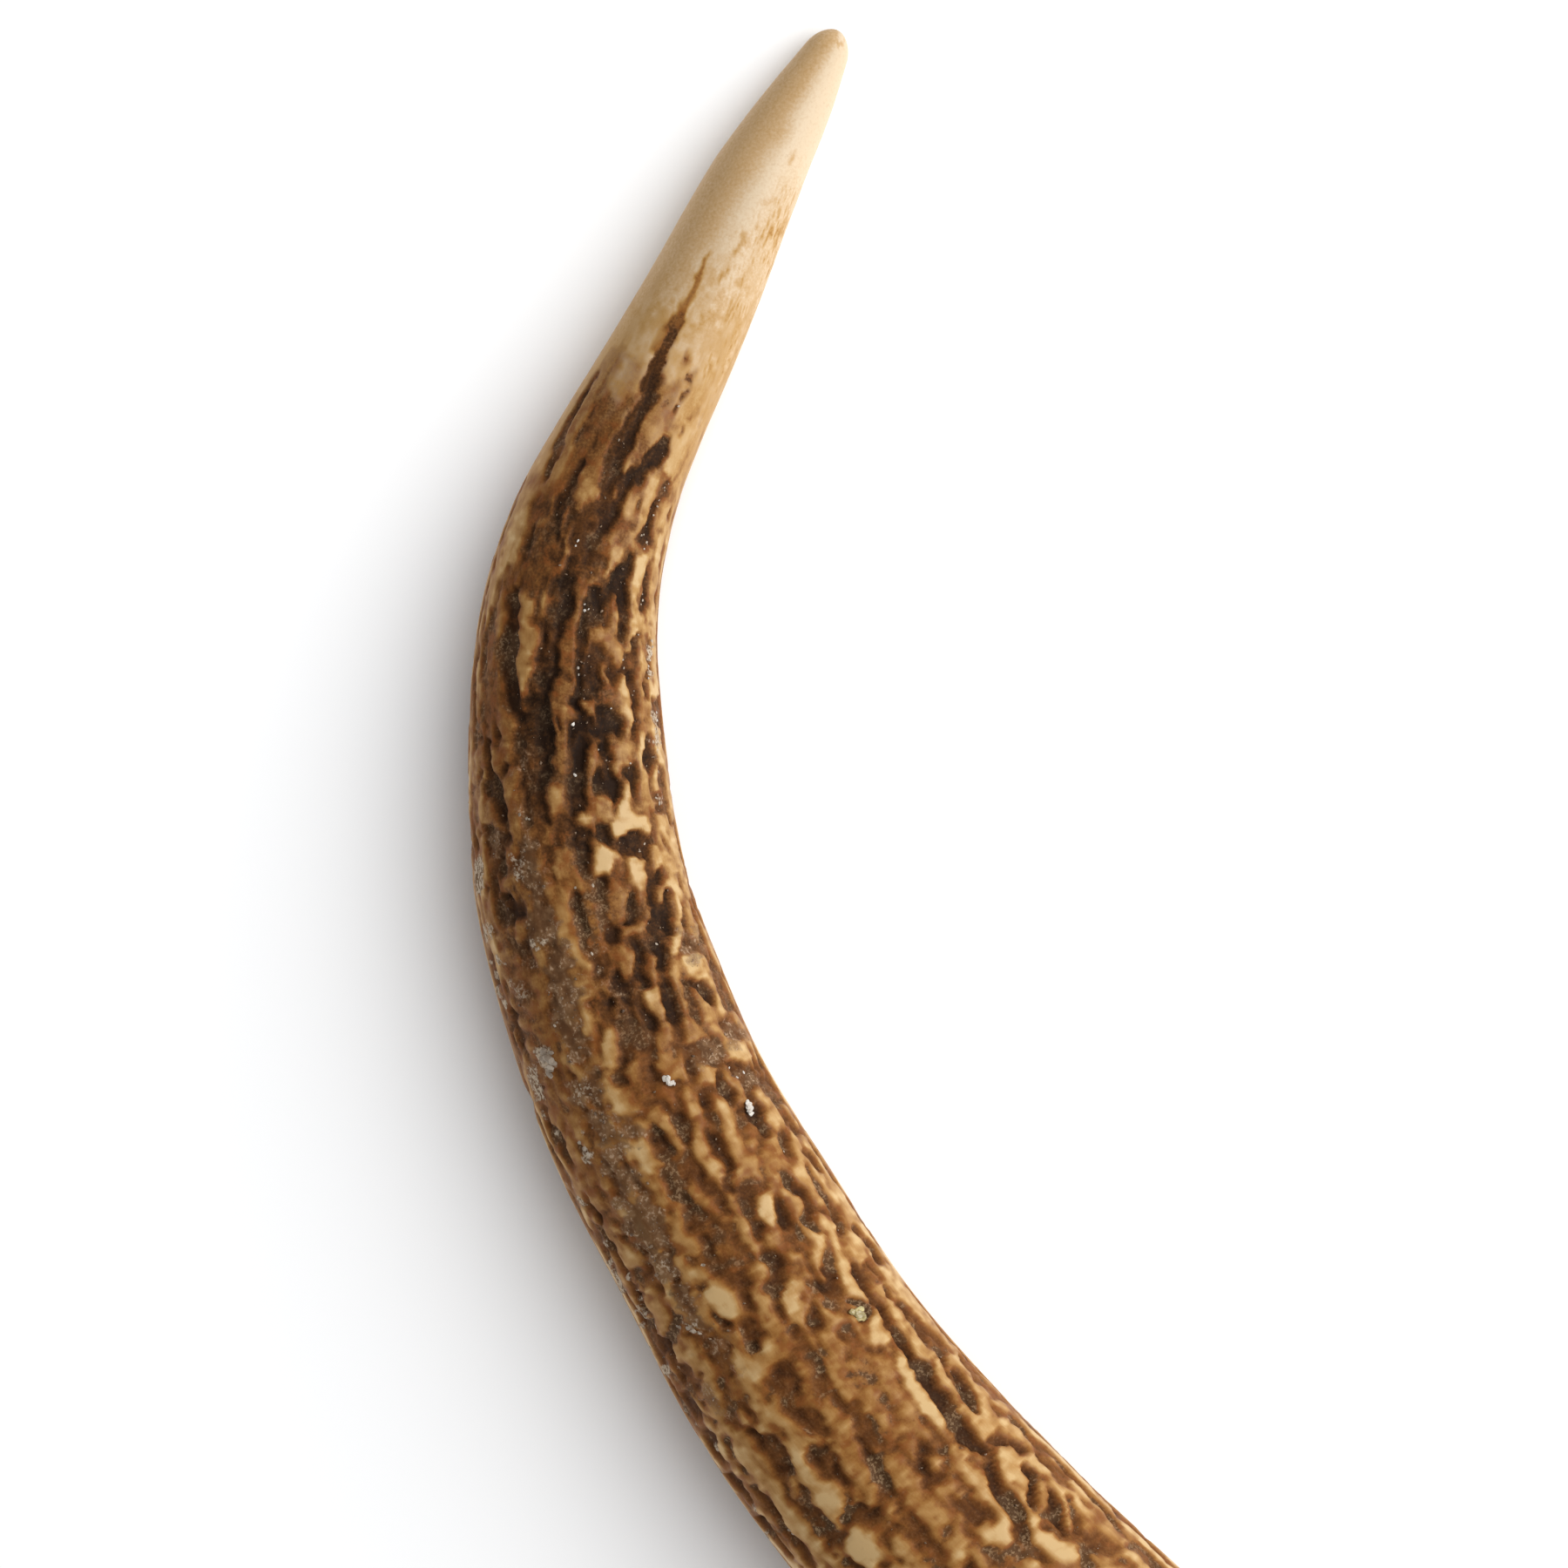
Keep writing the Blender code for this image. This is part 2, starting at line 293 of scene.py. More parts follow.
def read_attribute(mesh, name, width):
    """The values of a vertex attribute as an array, one row for each vertex."""
    flat = np.empty(len(mesh.vertices) * width, np.float32)
    mesh.attributes[name].data.foreach_get("value" if width == 1 else "vector", flat)
    return flat if width == 1 else flat.reshape(-1, width).astype(float)


points = points_of(skin.data)
nearest = np.argmin(np.hypot(*(points[:, None, :2] - LINE[None]).T), axis=0)
ring_of = np.argmin(np.abs(ALONG[nearest][:, None] - np.array(rings)[None]), axis=1)
distance = np.array(rings)[ring_of]
place, way = line_at(distance)
width, _, lift = radii_at(distance)
sideways = (points[:, 0] - place[:, 0]) * -way[:, 1] + (points[:, 1] - place[:, 1]) * way[:, 0]
in_ring = np.stack([sideways, points[:, 2] - lift, 0 * lift], 1) / width[:, None]
keep_attribute(skin.data, "distance", distance)
keep_attribute(skin.data, "in_ring", in_ring)
modifier = skin.modifiers.new("fine skin", "SUBSURF")
modifier.levels = modifier.render_levels = SUBDIVISIONS
bpy.context.view_layer.objects.active = skin
bpy.ops.object.modifier_apply(modifier=modifier.name)
print("fine faces:", len(skin.data.polygons), "points:", len(skin.data.vertices))

# %% [markdown]
# ## The pattern of the skin
# Antler grows under velvet, whose blood vessels leave grooves along it, and between them the
# bone rises in pearls and short ridges. Later the grooves take up dark stain and the tops
# wear to ivory. So one pattern rules both the relief and the colour: a tone from 0, the
# bottom of a groove, to 1, a worn top. It is drawn on a sheet, unrolled from the rod, from
# smooth seeded noise. The noise lies in waves of a chosen length along the rod and a chosen
# number round it, so the ridges are long and narrow and the sheet closes on itself. On the
# two sides and below they are longest and calmest.

# %% Noise on the unrolled skin
ROW_STEP = 0.25                                 # millimetres along the rod
COLUMNS = 480                                   # round the rod
ROWS = int(LENGTH / ROW_STEP) + 1
sheet_distance = np.arange(ROWS) * ROW_STEP
sheet_angle = np.arange(COLUMNS) * 360 / COLUMNS - 180


def skin_noise(seed, wave, spread, waves_round=0):
    """Smooth noise, usually between -2 and 2. wave is the length of a ridge in millimetres."""
    white = np.random.default_rng(seed).normal(size=(ROWS, COLUMNS))
    spectrum = np.fft.rfft2(white)
    along = np.abs(np.fft.fftfreq(ROWS, ROW_STEP))[:, None]
    around = np.arange(COLUMNS // 2 + 1)[None]
    spectrum *= np.exp(-0.5 * (along * wave) ** 2)
    spectrum *= np.exp(-0.5 * ((around - waves_round) / spread) ** 2)
    noise = np.fft.irfft2(spectrum, s=(ROWS, COLUMNS))
    return (noise - noise.mean()) / noise.std()


def read_sheet(sheet, distance, angle):
    """The sheet's value at each distance in millimetres and angle in degrees."""
    row = np.clip(distance / ROW_STEP, 0, ROWS - 1.001)
    column = (angle + 180) / 360 * COLUMNS % COLUMNS
    r, c = row.astype(int), column.astype(int) % COLUMNS
    down, right = row - r, column - column.astype(int)
    c_next, r_next = (c + 1) % COLUMNS, np.minimum(r + 1, ROWS - 1)
    upper = sheet[r, c] * (1 - right) + sheet[r, c_next] * right
    lower = sheet[r_next, c] * (1 - right) + sheet[r_next, c_next] * right
    return upper * (1 - down) + lower * down


# %% Ridges, grooves and their wandering
MEAN_TONE, TONE_RANGE = 0.46, 0.27
DRAWN_MEAN, DRAWN_RANGE = 0.41, 0.17            # on the upper side, where the marks take over
DRAWN_MIDDLE, DRAWN_EDGE = 3, (45, 62)          # degrees, and degrees to both sides of it
LOWER_PALER, LOWER_RANGE, SIDE_RANGE = 0.10, 0.05, 0.08         # added on the lower shaft
WORN_SIDES = (45, 60, 90, 130)                  # degrees from the top: starts, full, fades, ends
WORN_INSIDE, WORN_OUTSIDE = 0.16, 0.10          # how much paler the two sides are worn
LOWER_LESS_WORN = 0.65                          # the share of that which the lower shaft lacks
SMOOTH_TONE = 0.82                              # the tip, where no ridges grow
STEEPNESS = 0.95                                # of the change from groove to top
RIDGES_START = (42, 76)
LOWER_SHAFT = (80, 150)                         # where the lower shaft begins, and is fully so
UPPER_RIDGES, LOWER_RIDGES = (3, 6, 6, 24), (4, 3.8, 7, 27)     # seed, wave, spread, waves round
SIDE_RIDGES = (9, 13, 11, 21)                   # longer ones, on the two sides and below
FINE_RIDGES, BROAD_SWELL = (5, 1.9, 16, 36), (8, 11, 4)
FINE_SHARE, SWELL_SHARE = 0.32, 0.3
SHIFT_ALONG, SHIFT_ROUND = 0.6, 1.6             # millimetres and degrees that ridges wander
SIDE_CALM = 0.5                                 # how much less they do so on the sides
SIDE_START = (55, 75)                           # degrees from the top: they begin, and are full
STREAK_REACH = 3.2                              # millimetres that streaks run into the ivory

lower_shaft = smooth_step(sheet_distance, *LOWER_SHAFT)[:, None]
aside = np.abs(sheet_angle)
on_sides = smooth_step(aside, *SIDE_START)[None]
ridges = skin_noise(*UPPER_RIDGES) * (1 - lower_shaft) + skin_noise(*LOWER_RIDGES) * lower_shaft
ridges = ridges * (1 - on_sides) + skin_noise(*SIDE_RIDGES) * on_sides
wildness = 1 - SIDE_CALM * on_sides
ridges = ridges + FINE_SHARE * wildness * skin_noise(*FINE_RIDGES)
ridges = ridges + SWELL_SHARE * skin_noise(*BROAD_SWELL)
ridges = read_sheet(ridges, sheet_distance[:, None] + SHIFT_ALONG * skin_noise(7, 5, 7),
                    sheet_angle[None] + SHIFT_ROUND * wildness * skin_noise(6, 6, 7))
streaks = skin_noise(31, 9, 16, 8)
grown = smooth_step(sheet_distance[:, None] + STREAK_REACH * streaks, *RIDGES_START)
drawn = 1 - smooth_step(np.abs(sheet_angle - DRAWN_MIDDLE), *DRAWN_EDGE)[None]
mean_tone = MEAN_TONE + drawn * (DRAWN_MEAN - MEAN_TONE) + LOWER_PALER * lower_shaft
worn_side = soft_band(aside, WORN_SIDES) * np.where(sheet_angle > 0, WORN_INSIDE, WORN_OUTSIDE)
mean_tone = mean_tone + worn_side[None] * (1 - LOWER_LESS_WORN * lower_shaft)
tone_range = TONE_RANGE + drawn * (DRAWN_RANGE + LOWER_RANGE * lower_shaft - TONE_RANGE)
tone_range = tone_range + SIDE_RANGE * on_sides * lower_shaft
natural = mean_tone + tone_range * np.tanh(STEEPNESS * ridges)
tone = SMOOTH_TONE + grown * (natural - SMOOTH_TONE)
print("natural tones from", round(tone.min(), 2), "to", round(tone.max(), 2))

# %% [markdown]
# ## The marks that make it this tine
# Noise gives a tine, but not this one. The ridges and grooves that stand out on its upper
# side are drawn over the noise as marks: a tone, and rows from the mark's upper end to its
# lower one. A row is a distance from the tip and the two angles between which the mark
# lies there. The angle 0 faces up, and positive angles lie on the inside of the bend.

# %% Marks of the upper shaft
UPPER_MARKS = (
    (0.4, (36.6, -12, -4), (39, -13, -4)), (0.45, (37.5, -17, -7), (40, -20, -10)),
    (0.26, (39, -12, -4), (42, -13, -4), (44, -14, -3)), (0.35, (40.8, 9, 17), (41.6, 10, 18)),
    (0.35, (42.3, 22, 30), (44, 23, 31)), (0.66, (44, -72, -16), (47, -68, -14), (49, -66, -20)),
    (0.82, (42, -80, -62), (46, -80, -64), (49, -84, -66)),
    (0.78, (49, -86, -66), (54, -86, -63), (58, -84, -60), (60.5, -82, -58)),
    (0.8, (43, 30, 66), (49, 34, 68)), (0.78, (49, 42, 68), (56, 54, 70), (61, 56, 70)),
    (0.6, (44, 4, 24), (47, 6, 24), (50, 9, 36)),
    (0.46, (48.6, -37, -13), (51, -40, -12), (55, -38, -12), (58, -36, -19)),
    (0.5, (45, -46, -42), (48, -46, -40), (51, -45, -39)), (0.3, (51, -43, -38), (53.4, -42, -38)),
    (0.34, (46.5, -63, -59), (49, -62, -56), (53, -62, -54), (56, -59, -50), (58, -55, -47),
     (60.4, -52, -47)), (0.18, (49.6, -59, -55), (53, -59, -54)),
    (0.2, (58, -52, -48), (59.6, -52, -48)),
    (0.62, (50, -52, -47), (54, -51, -46), (57, -48, -41), (60, -46, -40), (62, -42, -40)),
    (0.3, (54.1, -41, -34), (54.8, -40, -34)),
    (0.26, (53.2, -25, -23), (54.2, -24, -20), (55.2, -24, -21)),
    (0.14, (56.6, -29, -25), (58, -28, -22), (60, -29, -22), (62, -32, -20), (64, -31, -20),
     (66, -26, -22)), (0.56, (53.6, -16, -13), (55.5, -17, -12), (58, -17, -11)),
    (0.55, (60, -37, -29), (61.6, -36, -30)), (0.6, (60, -74, -52), (62, -66, -50)),
    (0.38, (61.6, -52, -34), (64, -48, -33)), (0.44, (48.2, -22, -8), (49.6, -19, -10)),
    (0.44, (46.3, 12, 18), (47.8, 12, 19)), (0.74, (49, 18, 21), (50.2, 17, 22), (51.4, 18, 22)),
    (0.5, (51.6, 9, 15), (55.2, 9, 14)), (0.66, (45.6, 45, 52), (47.4, 40, 50)),
    (0.55, (46.2, 56, 59), (47.4, 57, 60)),
    (0.87, (48.4, 44, 54), (50, 42, 53), (51.6, 40, 55), (53, 37, 50), (54.4, 39, 50)),
    (0.62, (51, 57, 60), (55, 54, 58)), (0.6, (55, 56, 66), (57.4, 56, 67)),
    (0.34, (58.2, 62, 65), (59.4, 62, 66)),
    (0.84, (55.8, 28, 41), (57, 29, 43), (58, 32, 42), (59.6, 33, 40)),
    (0.72, (60, 31, 38), (64.6, 30, 36)), (0.77, (58.2, 20, 26), (59.4, 18, 28), (60.8, 19, 25)),
    (0.2, (58.6, 28.5, 31), (59.6, 29, 31.5)), (0.8, (58, 51, 60), (61, 50, 58)),
    (0.88, (61.4, 57, 66), (62.6, 54, 69), (64, 56, 69), (65.6, 60, 68)),
    (0.24, (44.5, 27, 30), (45.8, 26, 30)), (0.22, (46.3, 25, 29), (47.6, 25, 30)),
    (0.26, (49, 38, 41), (50, 38, 40)), (0.4, (61.3, 16, 26), (63.2, 15, 26)),
    (0.6, (63.2, 15, 24), (64.4, 17, 26)),
    (0.25, (43, -13, 2), (44, -15, 4.5), (46, -12, 4), (48, -6, 8), (50, -10, 8), (54, -10, 6),
     (56, -8, 9), (57.5, -8, 16), (58.6, -7, 16), (60, -3, 16), (61, -6, 16), (62.4, -15, 15),
     (64, -17, 13), (65.6, -9, 14), (67.4, -8, 12), (68.6, -9, 5), (70, -14, 2), (72, -15.5, 0),
     (74, -18, -1)),
    (0.12, (44, -5, 2), (47, -3, 5), (49, 0, 8), (53, -2, 6), (55.6, 0, 8), (57.4, -1, 14),
     (58.8, -2, 4)), (0.06, (58, 9, 15), (60, 8, 15), (62, 5, 13), (64, 5, 12), (67, 4, 10)),
    (0.08, (51.2, 26, 33), (52, 20, 37), (53, 16, 36), (54, 16, 33), (55, 17, 27), (56, 10, 24),
     (57.2, 10, 23), (58, 10, 17)), (0.22, (52.6, 20, 24), (54.6, 19, 23)),
    (0.6, (58.4, 5, 8), (60, 5, 8.5)),
    (0.72, (59, -16, -8), (60, -18, -5), (60.8, -17, -4), (61.7, -13, -7)),
    (0.3, (54.9, 49, 55), (56, 45, 55), (58, 44, 50), (60, 40, 48), (61.4, 40, 46), (62.2, 38, 51),
     (63.2, 37, 54), (64.2, 39, 46)), (0.12, (58.4, 45, 48), (61, 42, 45), (63, 40, 52)),
    (0.5, (62, 70, 74), (65.4, 70, 74)),
    (0.7, (61.5, -74, -50), (66, -76, -46), (70, -76, -44), (73, -76, -58)),
    (0.8, (63.4, -60, -50), (66, -64, -48), (69, -66, -47), (71.4, -62, -50)),
    (0.48, (68, -67, -62), (68.7, -66, -62)), (0.44, (70, -54, -42), (72, -58, -44)),
    (0.2, (65.5, -43, -39), (67.6, -42, -38)),
    (0.38, (65.8, -38, -12), (68, -40, -12), (70, -38, -16), (71.6, -36, -20), (72.8, -28, -22)),
    (0.6, (64, -15, -12), (66.4, -12, -8), (68.2, -12, -9), (69.8, -16, -12)),
    (0.72, (71.9, -38, -33), (72.6, -37, -28), (73.4, -34, -21), (74.4, -32, -22)),
    (0.75, (71.6, -20, -17), (72.6, -20, -14), (74, -19, -15)),
    (0.24, (74.8, -29, -25), (75.8, -28, -20)),
    (0.78, (64.6, 20, 28), (66, 16, 26), (67.4, 14, 24), (68.6, 15, 20), (69.4, 15, 18)),
    (0.42, (64, 25, 30), (65, 26, 30)), (0.36, (68.6, 4, 11), (71, 3, 8)),
    (0.55, (69.8, 15, 19), (71.3, 16, 19)),
    (0.76, (65.6, 56, 72), (70, 58, 72), (73, 54, 72), (75, 50, 60)),
    (0.12, (65.5, 31, 38), (66.6, 31, 39), (67.6, 28, 37), (69, 23, 37), (70, 20, 38), (71, 19, 38),
     (71.6, 32, 39)),
    (0.1, (70.8, 9, 24), (72.4, 6, 22), (73.6, 7, 22), (74.6, 6, 19), (75.4, 6, 12)),
    (0.1, (71, 32, 38), (73, 32, 40), (75, 33, 40), (76.6, 34, 38)),
    (0.94, (65, 42, 48), (66, 40, 51), (67, 38, 50), (68.4, 36, 50), (69.4, 38, 47)),
    (0.84, (69, 38, 47), (71, 39, 49), (72.8, 41, 52), (73.8, 40, 57), (75, 41, 49), (76.6, 40, 47),
     (77.6, 36, 43)),
    (0.22, (65.6, 51, 54), (67, 50, 55), (69, 52, 56), (70.2, 51, 59), (71.2, 50, 60),
     (71.9, 51, 56)),
)
print("marks of the upper shaft:", len(UPPER_MARKS))

# %% Marks of the bend
MIDDLE_MARKS = (
    (0.47, (74, -60, -44), (78, -58, -43), (82, -58, -42), (88, -58, -42)),
    (0.56, (74, -53, -46), (77.6, -54, -45)), (0.36, (74, -60, -54), (76, -59, -55)),
    (0.3, (77, -63, -58), (80, -62, -59)), (0.6, (81, -65, -60), (84, -66, -60), (87.4, -64, -59)),
    (0.56, (83, -79, -73), (88, -78, -72)),
    (0.7, (75, -32, -29), (76.2, -32, -19), (77, -31, -17), (78, -32, -20), (79.4, -33, -20),
     (80.8, -31, -20), (82.2, -28, -24)),
    (0.5, (71, 2, 6), (73, -1, 6), (76, -1, 5), (77.4, -4, 5), (78.4, -6, 5), (79.6, -4, 5),
     (80.4, 0, 4)), (0.66, (73.6, 1, 4), (75.4, 0, 4)),
    (0.62, (71, 25, 30), (73, 26, 32), (74.6, 24, 31), (76, 15, 30), (76.8, 14, 33), (77.6, 25, 37),
     (78.6, 26, 36), (79.2, 25, 31)), (0.74, (75, 17, 24), (76.2, 14, 25)),
    (0.96, (71.8, 30.5, 33), (74.2, 30.5, 33)), (0.7, (77, 30, 37), (78.6, 28, 36)),
    (0.62, (79.6, 24, 27), (81.6, 24, 28)), (0.74, (76.4, 52, 58), (79, 50, 58), (82, 48, 55)),
    (0.7, (82, 49, 54), (84, 50, 62), (86, 52, 62), (88, 50, 60)),
    (0.85, (79.8, 66, 76), (83, 64, 80)), (0.8, (72.4, 58, 74), (79.4, 66, 76)),
    (0.84, (87.4, 60, 74), (92, 60, 72)), (0.76, (90, 70, 78), (98, 68, 78)),
    (0.22, (74.8, -18, -1), (77, -18, -3), (78.4, -19, -5.5), (80, -19, -3), (81, -22, -4),
     (82.4, -25, -8), (84, -27, -9), (86, -30, -8), (90, -31, -9), (92, -30, -8), (93, -30, -11),
     (94, -29, -15), (96, -29, -14), (98, -30, -12)),
    (0.04, (69, -7, 2), (71, -8, 1), (74, -9, -2), (77, -8, -4), (79, -13, -6), (81, -14, -6),
     (83, -18, -9), (87, -18, -9), (90, -17, -9), (92.4, -16, -9), (94, -17, -15)),
    (0.07, (75, 6, 12), (77, 5, 12), (79, 5, 10), (81, 5, 10), (82.4, 5, 12), (84, 4, 9),
     (85.4, 5, 12), (86.4, 6, 18), (88, 2, 14), (90, 2, 10), (93, 0, 8), (95.4, 0, 9),
     (96.4, 0, 10), (97.4, 0, 4)),
    (0.12, (77, 13, 22), (78, 11, 23), (80, 10, 23), (81.4, 11, 22), (82.6, 12, 21),
     (83.8, 12, 19)),
    (0.05, (71.6, -44, -38), (73, -44, -36), (75, -44, -34), (76.4, -46, -34), (78.2, -46, -34),
     (80, -42, -32), (82, -40, -29), (83.4, -38, -28), (84.4, -36, -26), (85.8, -31, -26)),
    (0.18, (77.8, 38, 42), (79, 35, 43), (80.2, 33, 46), (81.4, 38, 46), (83, 42, 48), (85, 44, 48),
     (86.6, 43, 49), (87.8, 42, 46)), (0.14, (79.6, 29, 32), (81.6, 29, 32)),
    (0.26, (75.6, 48, 52), (77, 46, 52), (78.6, 44, 48)), (0.35, (79.2, 61, 65), (81.4, 59, 63)),
    (0.54, (80.8, -3, 5), (82, -7, 4), (83, -9, 3), (85, -8, 5), (87, -8, 2), (89, -8, 1),
     (91, -7, 0), (92.2, -5, -1)), (0.46, (82.4, -6, 0), (83.8, -6, 0)),
    (0.68, (84.6, -2, 4), (86, -2, 3)), (0.12, (86.3, -5, -3), (87.7, -5, -2)),
    (0.72, (93, -8, -2), (94, -13, -2), (95, -15, -3), (96, -14, -3), (97, -12, -4)),
    (0.82, (94.4, -10, -5), (96, -10, -5)), (0.5, (82, 22, 28), (83, 20, 29), (83.9, 22, 27)),
    (0.56, (83.9, 11, 17), (85.2, 12, 16)),
    (0.1, (84.8, 19, 30), (86, 14, 35), (87, 10, 37), (88, 20, 33)),
    (0.85, (80.6, 34, 38), (82, 32, 40), (83.4, 33, 41), (85, 35, 44), (86.2, 36, 44),
     (87.2, 37, 42)),
    (0.7, (87.2, 36, 41), (88.4, 32, 41), (89.4, 27, 40), (90.6, 26, 36), (92, 24, 33),
     (93, 25, 30)), (0.5, (88, 24, 29), (89.4, 24, 29)), (0.84, (89.8, 33, 37), (91.4, 32, 36)),
    (0.28, (82, 55, 59), (83.4, 55, 60)), (0.36, (83, 63, 76), (85, 62, 76), (86.8, 62, 71)),
    (0.52, (88.4, 14, 20), (89.2, 12, 19), (90.4, 9, 18), (92, 9, 16), (94, 8, 14), (95.4, 9, 16)),
    (0.14, (88.6, 20, 23), (90, 19, 25), (91.4, 19, 25)),
    (0.07, (91.6, 16, 25), (93, 13, 27), (94.2, 13, 29), (95, 16, 28), (96.2, 22, 27)),
    (0.96, (88, 46, 54), (89, 42, 52), (90, 41, 50), (91, 41, 48), (91.7, 43, 47)),
    (0.72, (91.8, 42, 50), (93.4, 42, 50)),
    (0.28, (88.4, 54, 58), (89.6, 51, 57), (90.6, 49, 58), (91.6, 48, 56), (92.6, 47, 53)),
    (0.2, (90.6, 38, 40), (91.6, 34, 41), (92.6, 33, 42), (93.6, 36, 40)),
    (0.88, (92, 55, 62), (93, 52, 62), (94, 51, 61), (95, 51, 60), (95.7, 53, 57)),
    (0.4, (92, 63, 69), (95.4, 62, 70)), (0.38, (95.6, 54, 64), (97.4, 54, 62)),
    (0.74, (93, 41, 50), (97.4, 40, 52)),
    (0.96, (93.5, 29, 36), (95, 28, 37), (96.4, 24, 37), (97.6, 22, 40), (98.4, 21, 47),
     (99.4, 22, 47), (100, 26, 45)), (0.55, (95.4, 37, 40), (97.2, 37, 40)),
    (0.74, (97.6, 49, 68), (100, 52, 68)),
    (0.72, (94.9, 16, 20), (96, 12, 22), (97, 10, 23), (97.8, 6, 19)),
    (0.88, (97.2, 4, 9), (98, 2, 10), (99, 3, 9.5), (99.9, 4, 8.5)),
    (0.1, (97.8, 13, 19), (99, 11, 21), (100.6, 12, 22)), (0.3, (97.2, -12, -2), (100, -12, -2)),
    (0.56, (84, -46, -38), (86, -42, -31), (88, -40, -30)),
    (0.24, (86.2, -45, -41), (87.6, -44, -38)),
    (0.58, (88.4, -48, -32), (90, -50, -32), (91, -49, -40), (92.2, -46, -41)),
    (0.28, (90.4, -40, -36), (91.7, -40, -37)),
    (0.62, (91, -36, -30), (92.4, -42, -31), (94, -40, -30), (96, -38, -29), (98, -37, -29),
     (99.4, -38, -29), (100.4, -42, -32), (102, -41, -36)),
    (0.13, (87.6, -56, -51), (89.6, -56, -51), (91.4, -54, -48), (92.6, -56, -44), (94, -58, -42),
     (95.2, -49, -40), (96.6, -46, -38)),
    (0.54, (94.8, -56, -49), (96, -60, -46), (97.2, -60, -42)),
    (0.13, (97.6, -60, -42), (98.6, -59, -36), (99.8, -57, -38), (100.6, -54, -44)),
)
print("marks of the bend:", len(MIDDLE_MARKS))

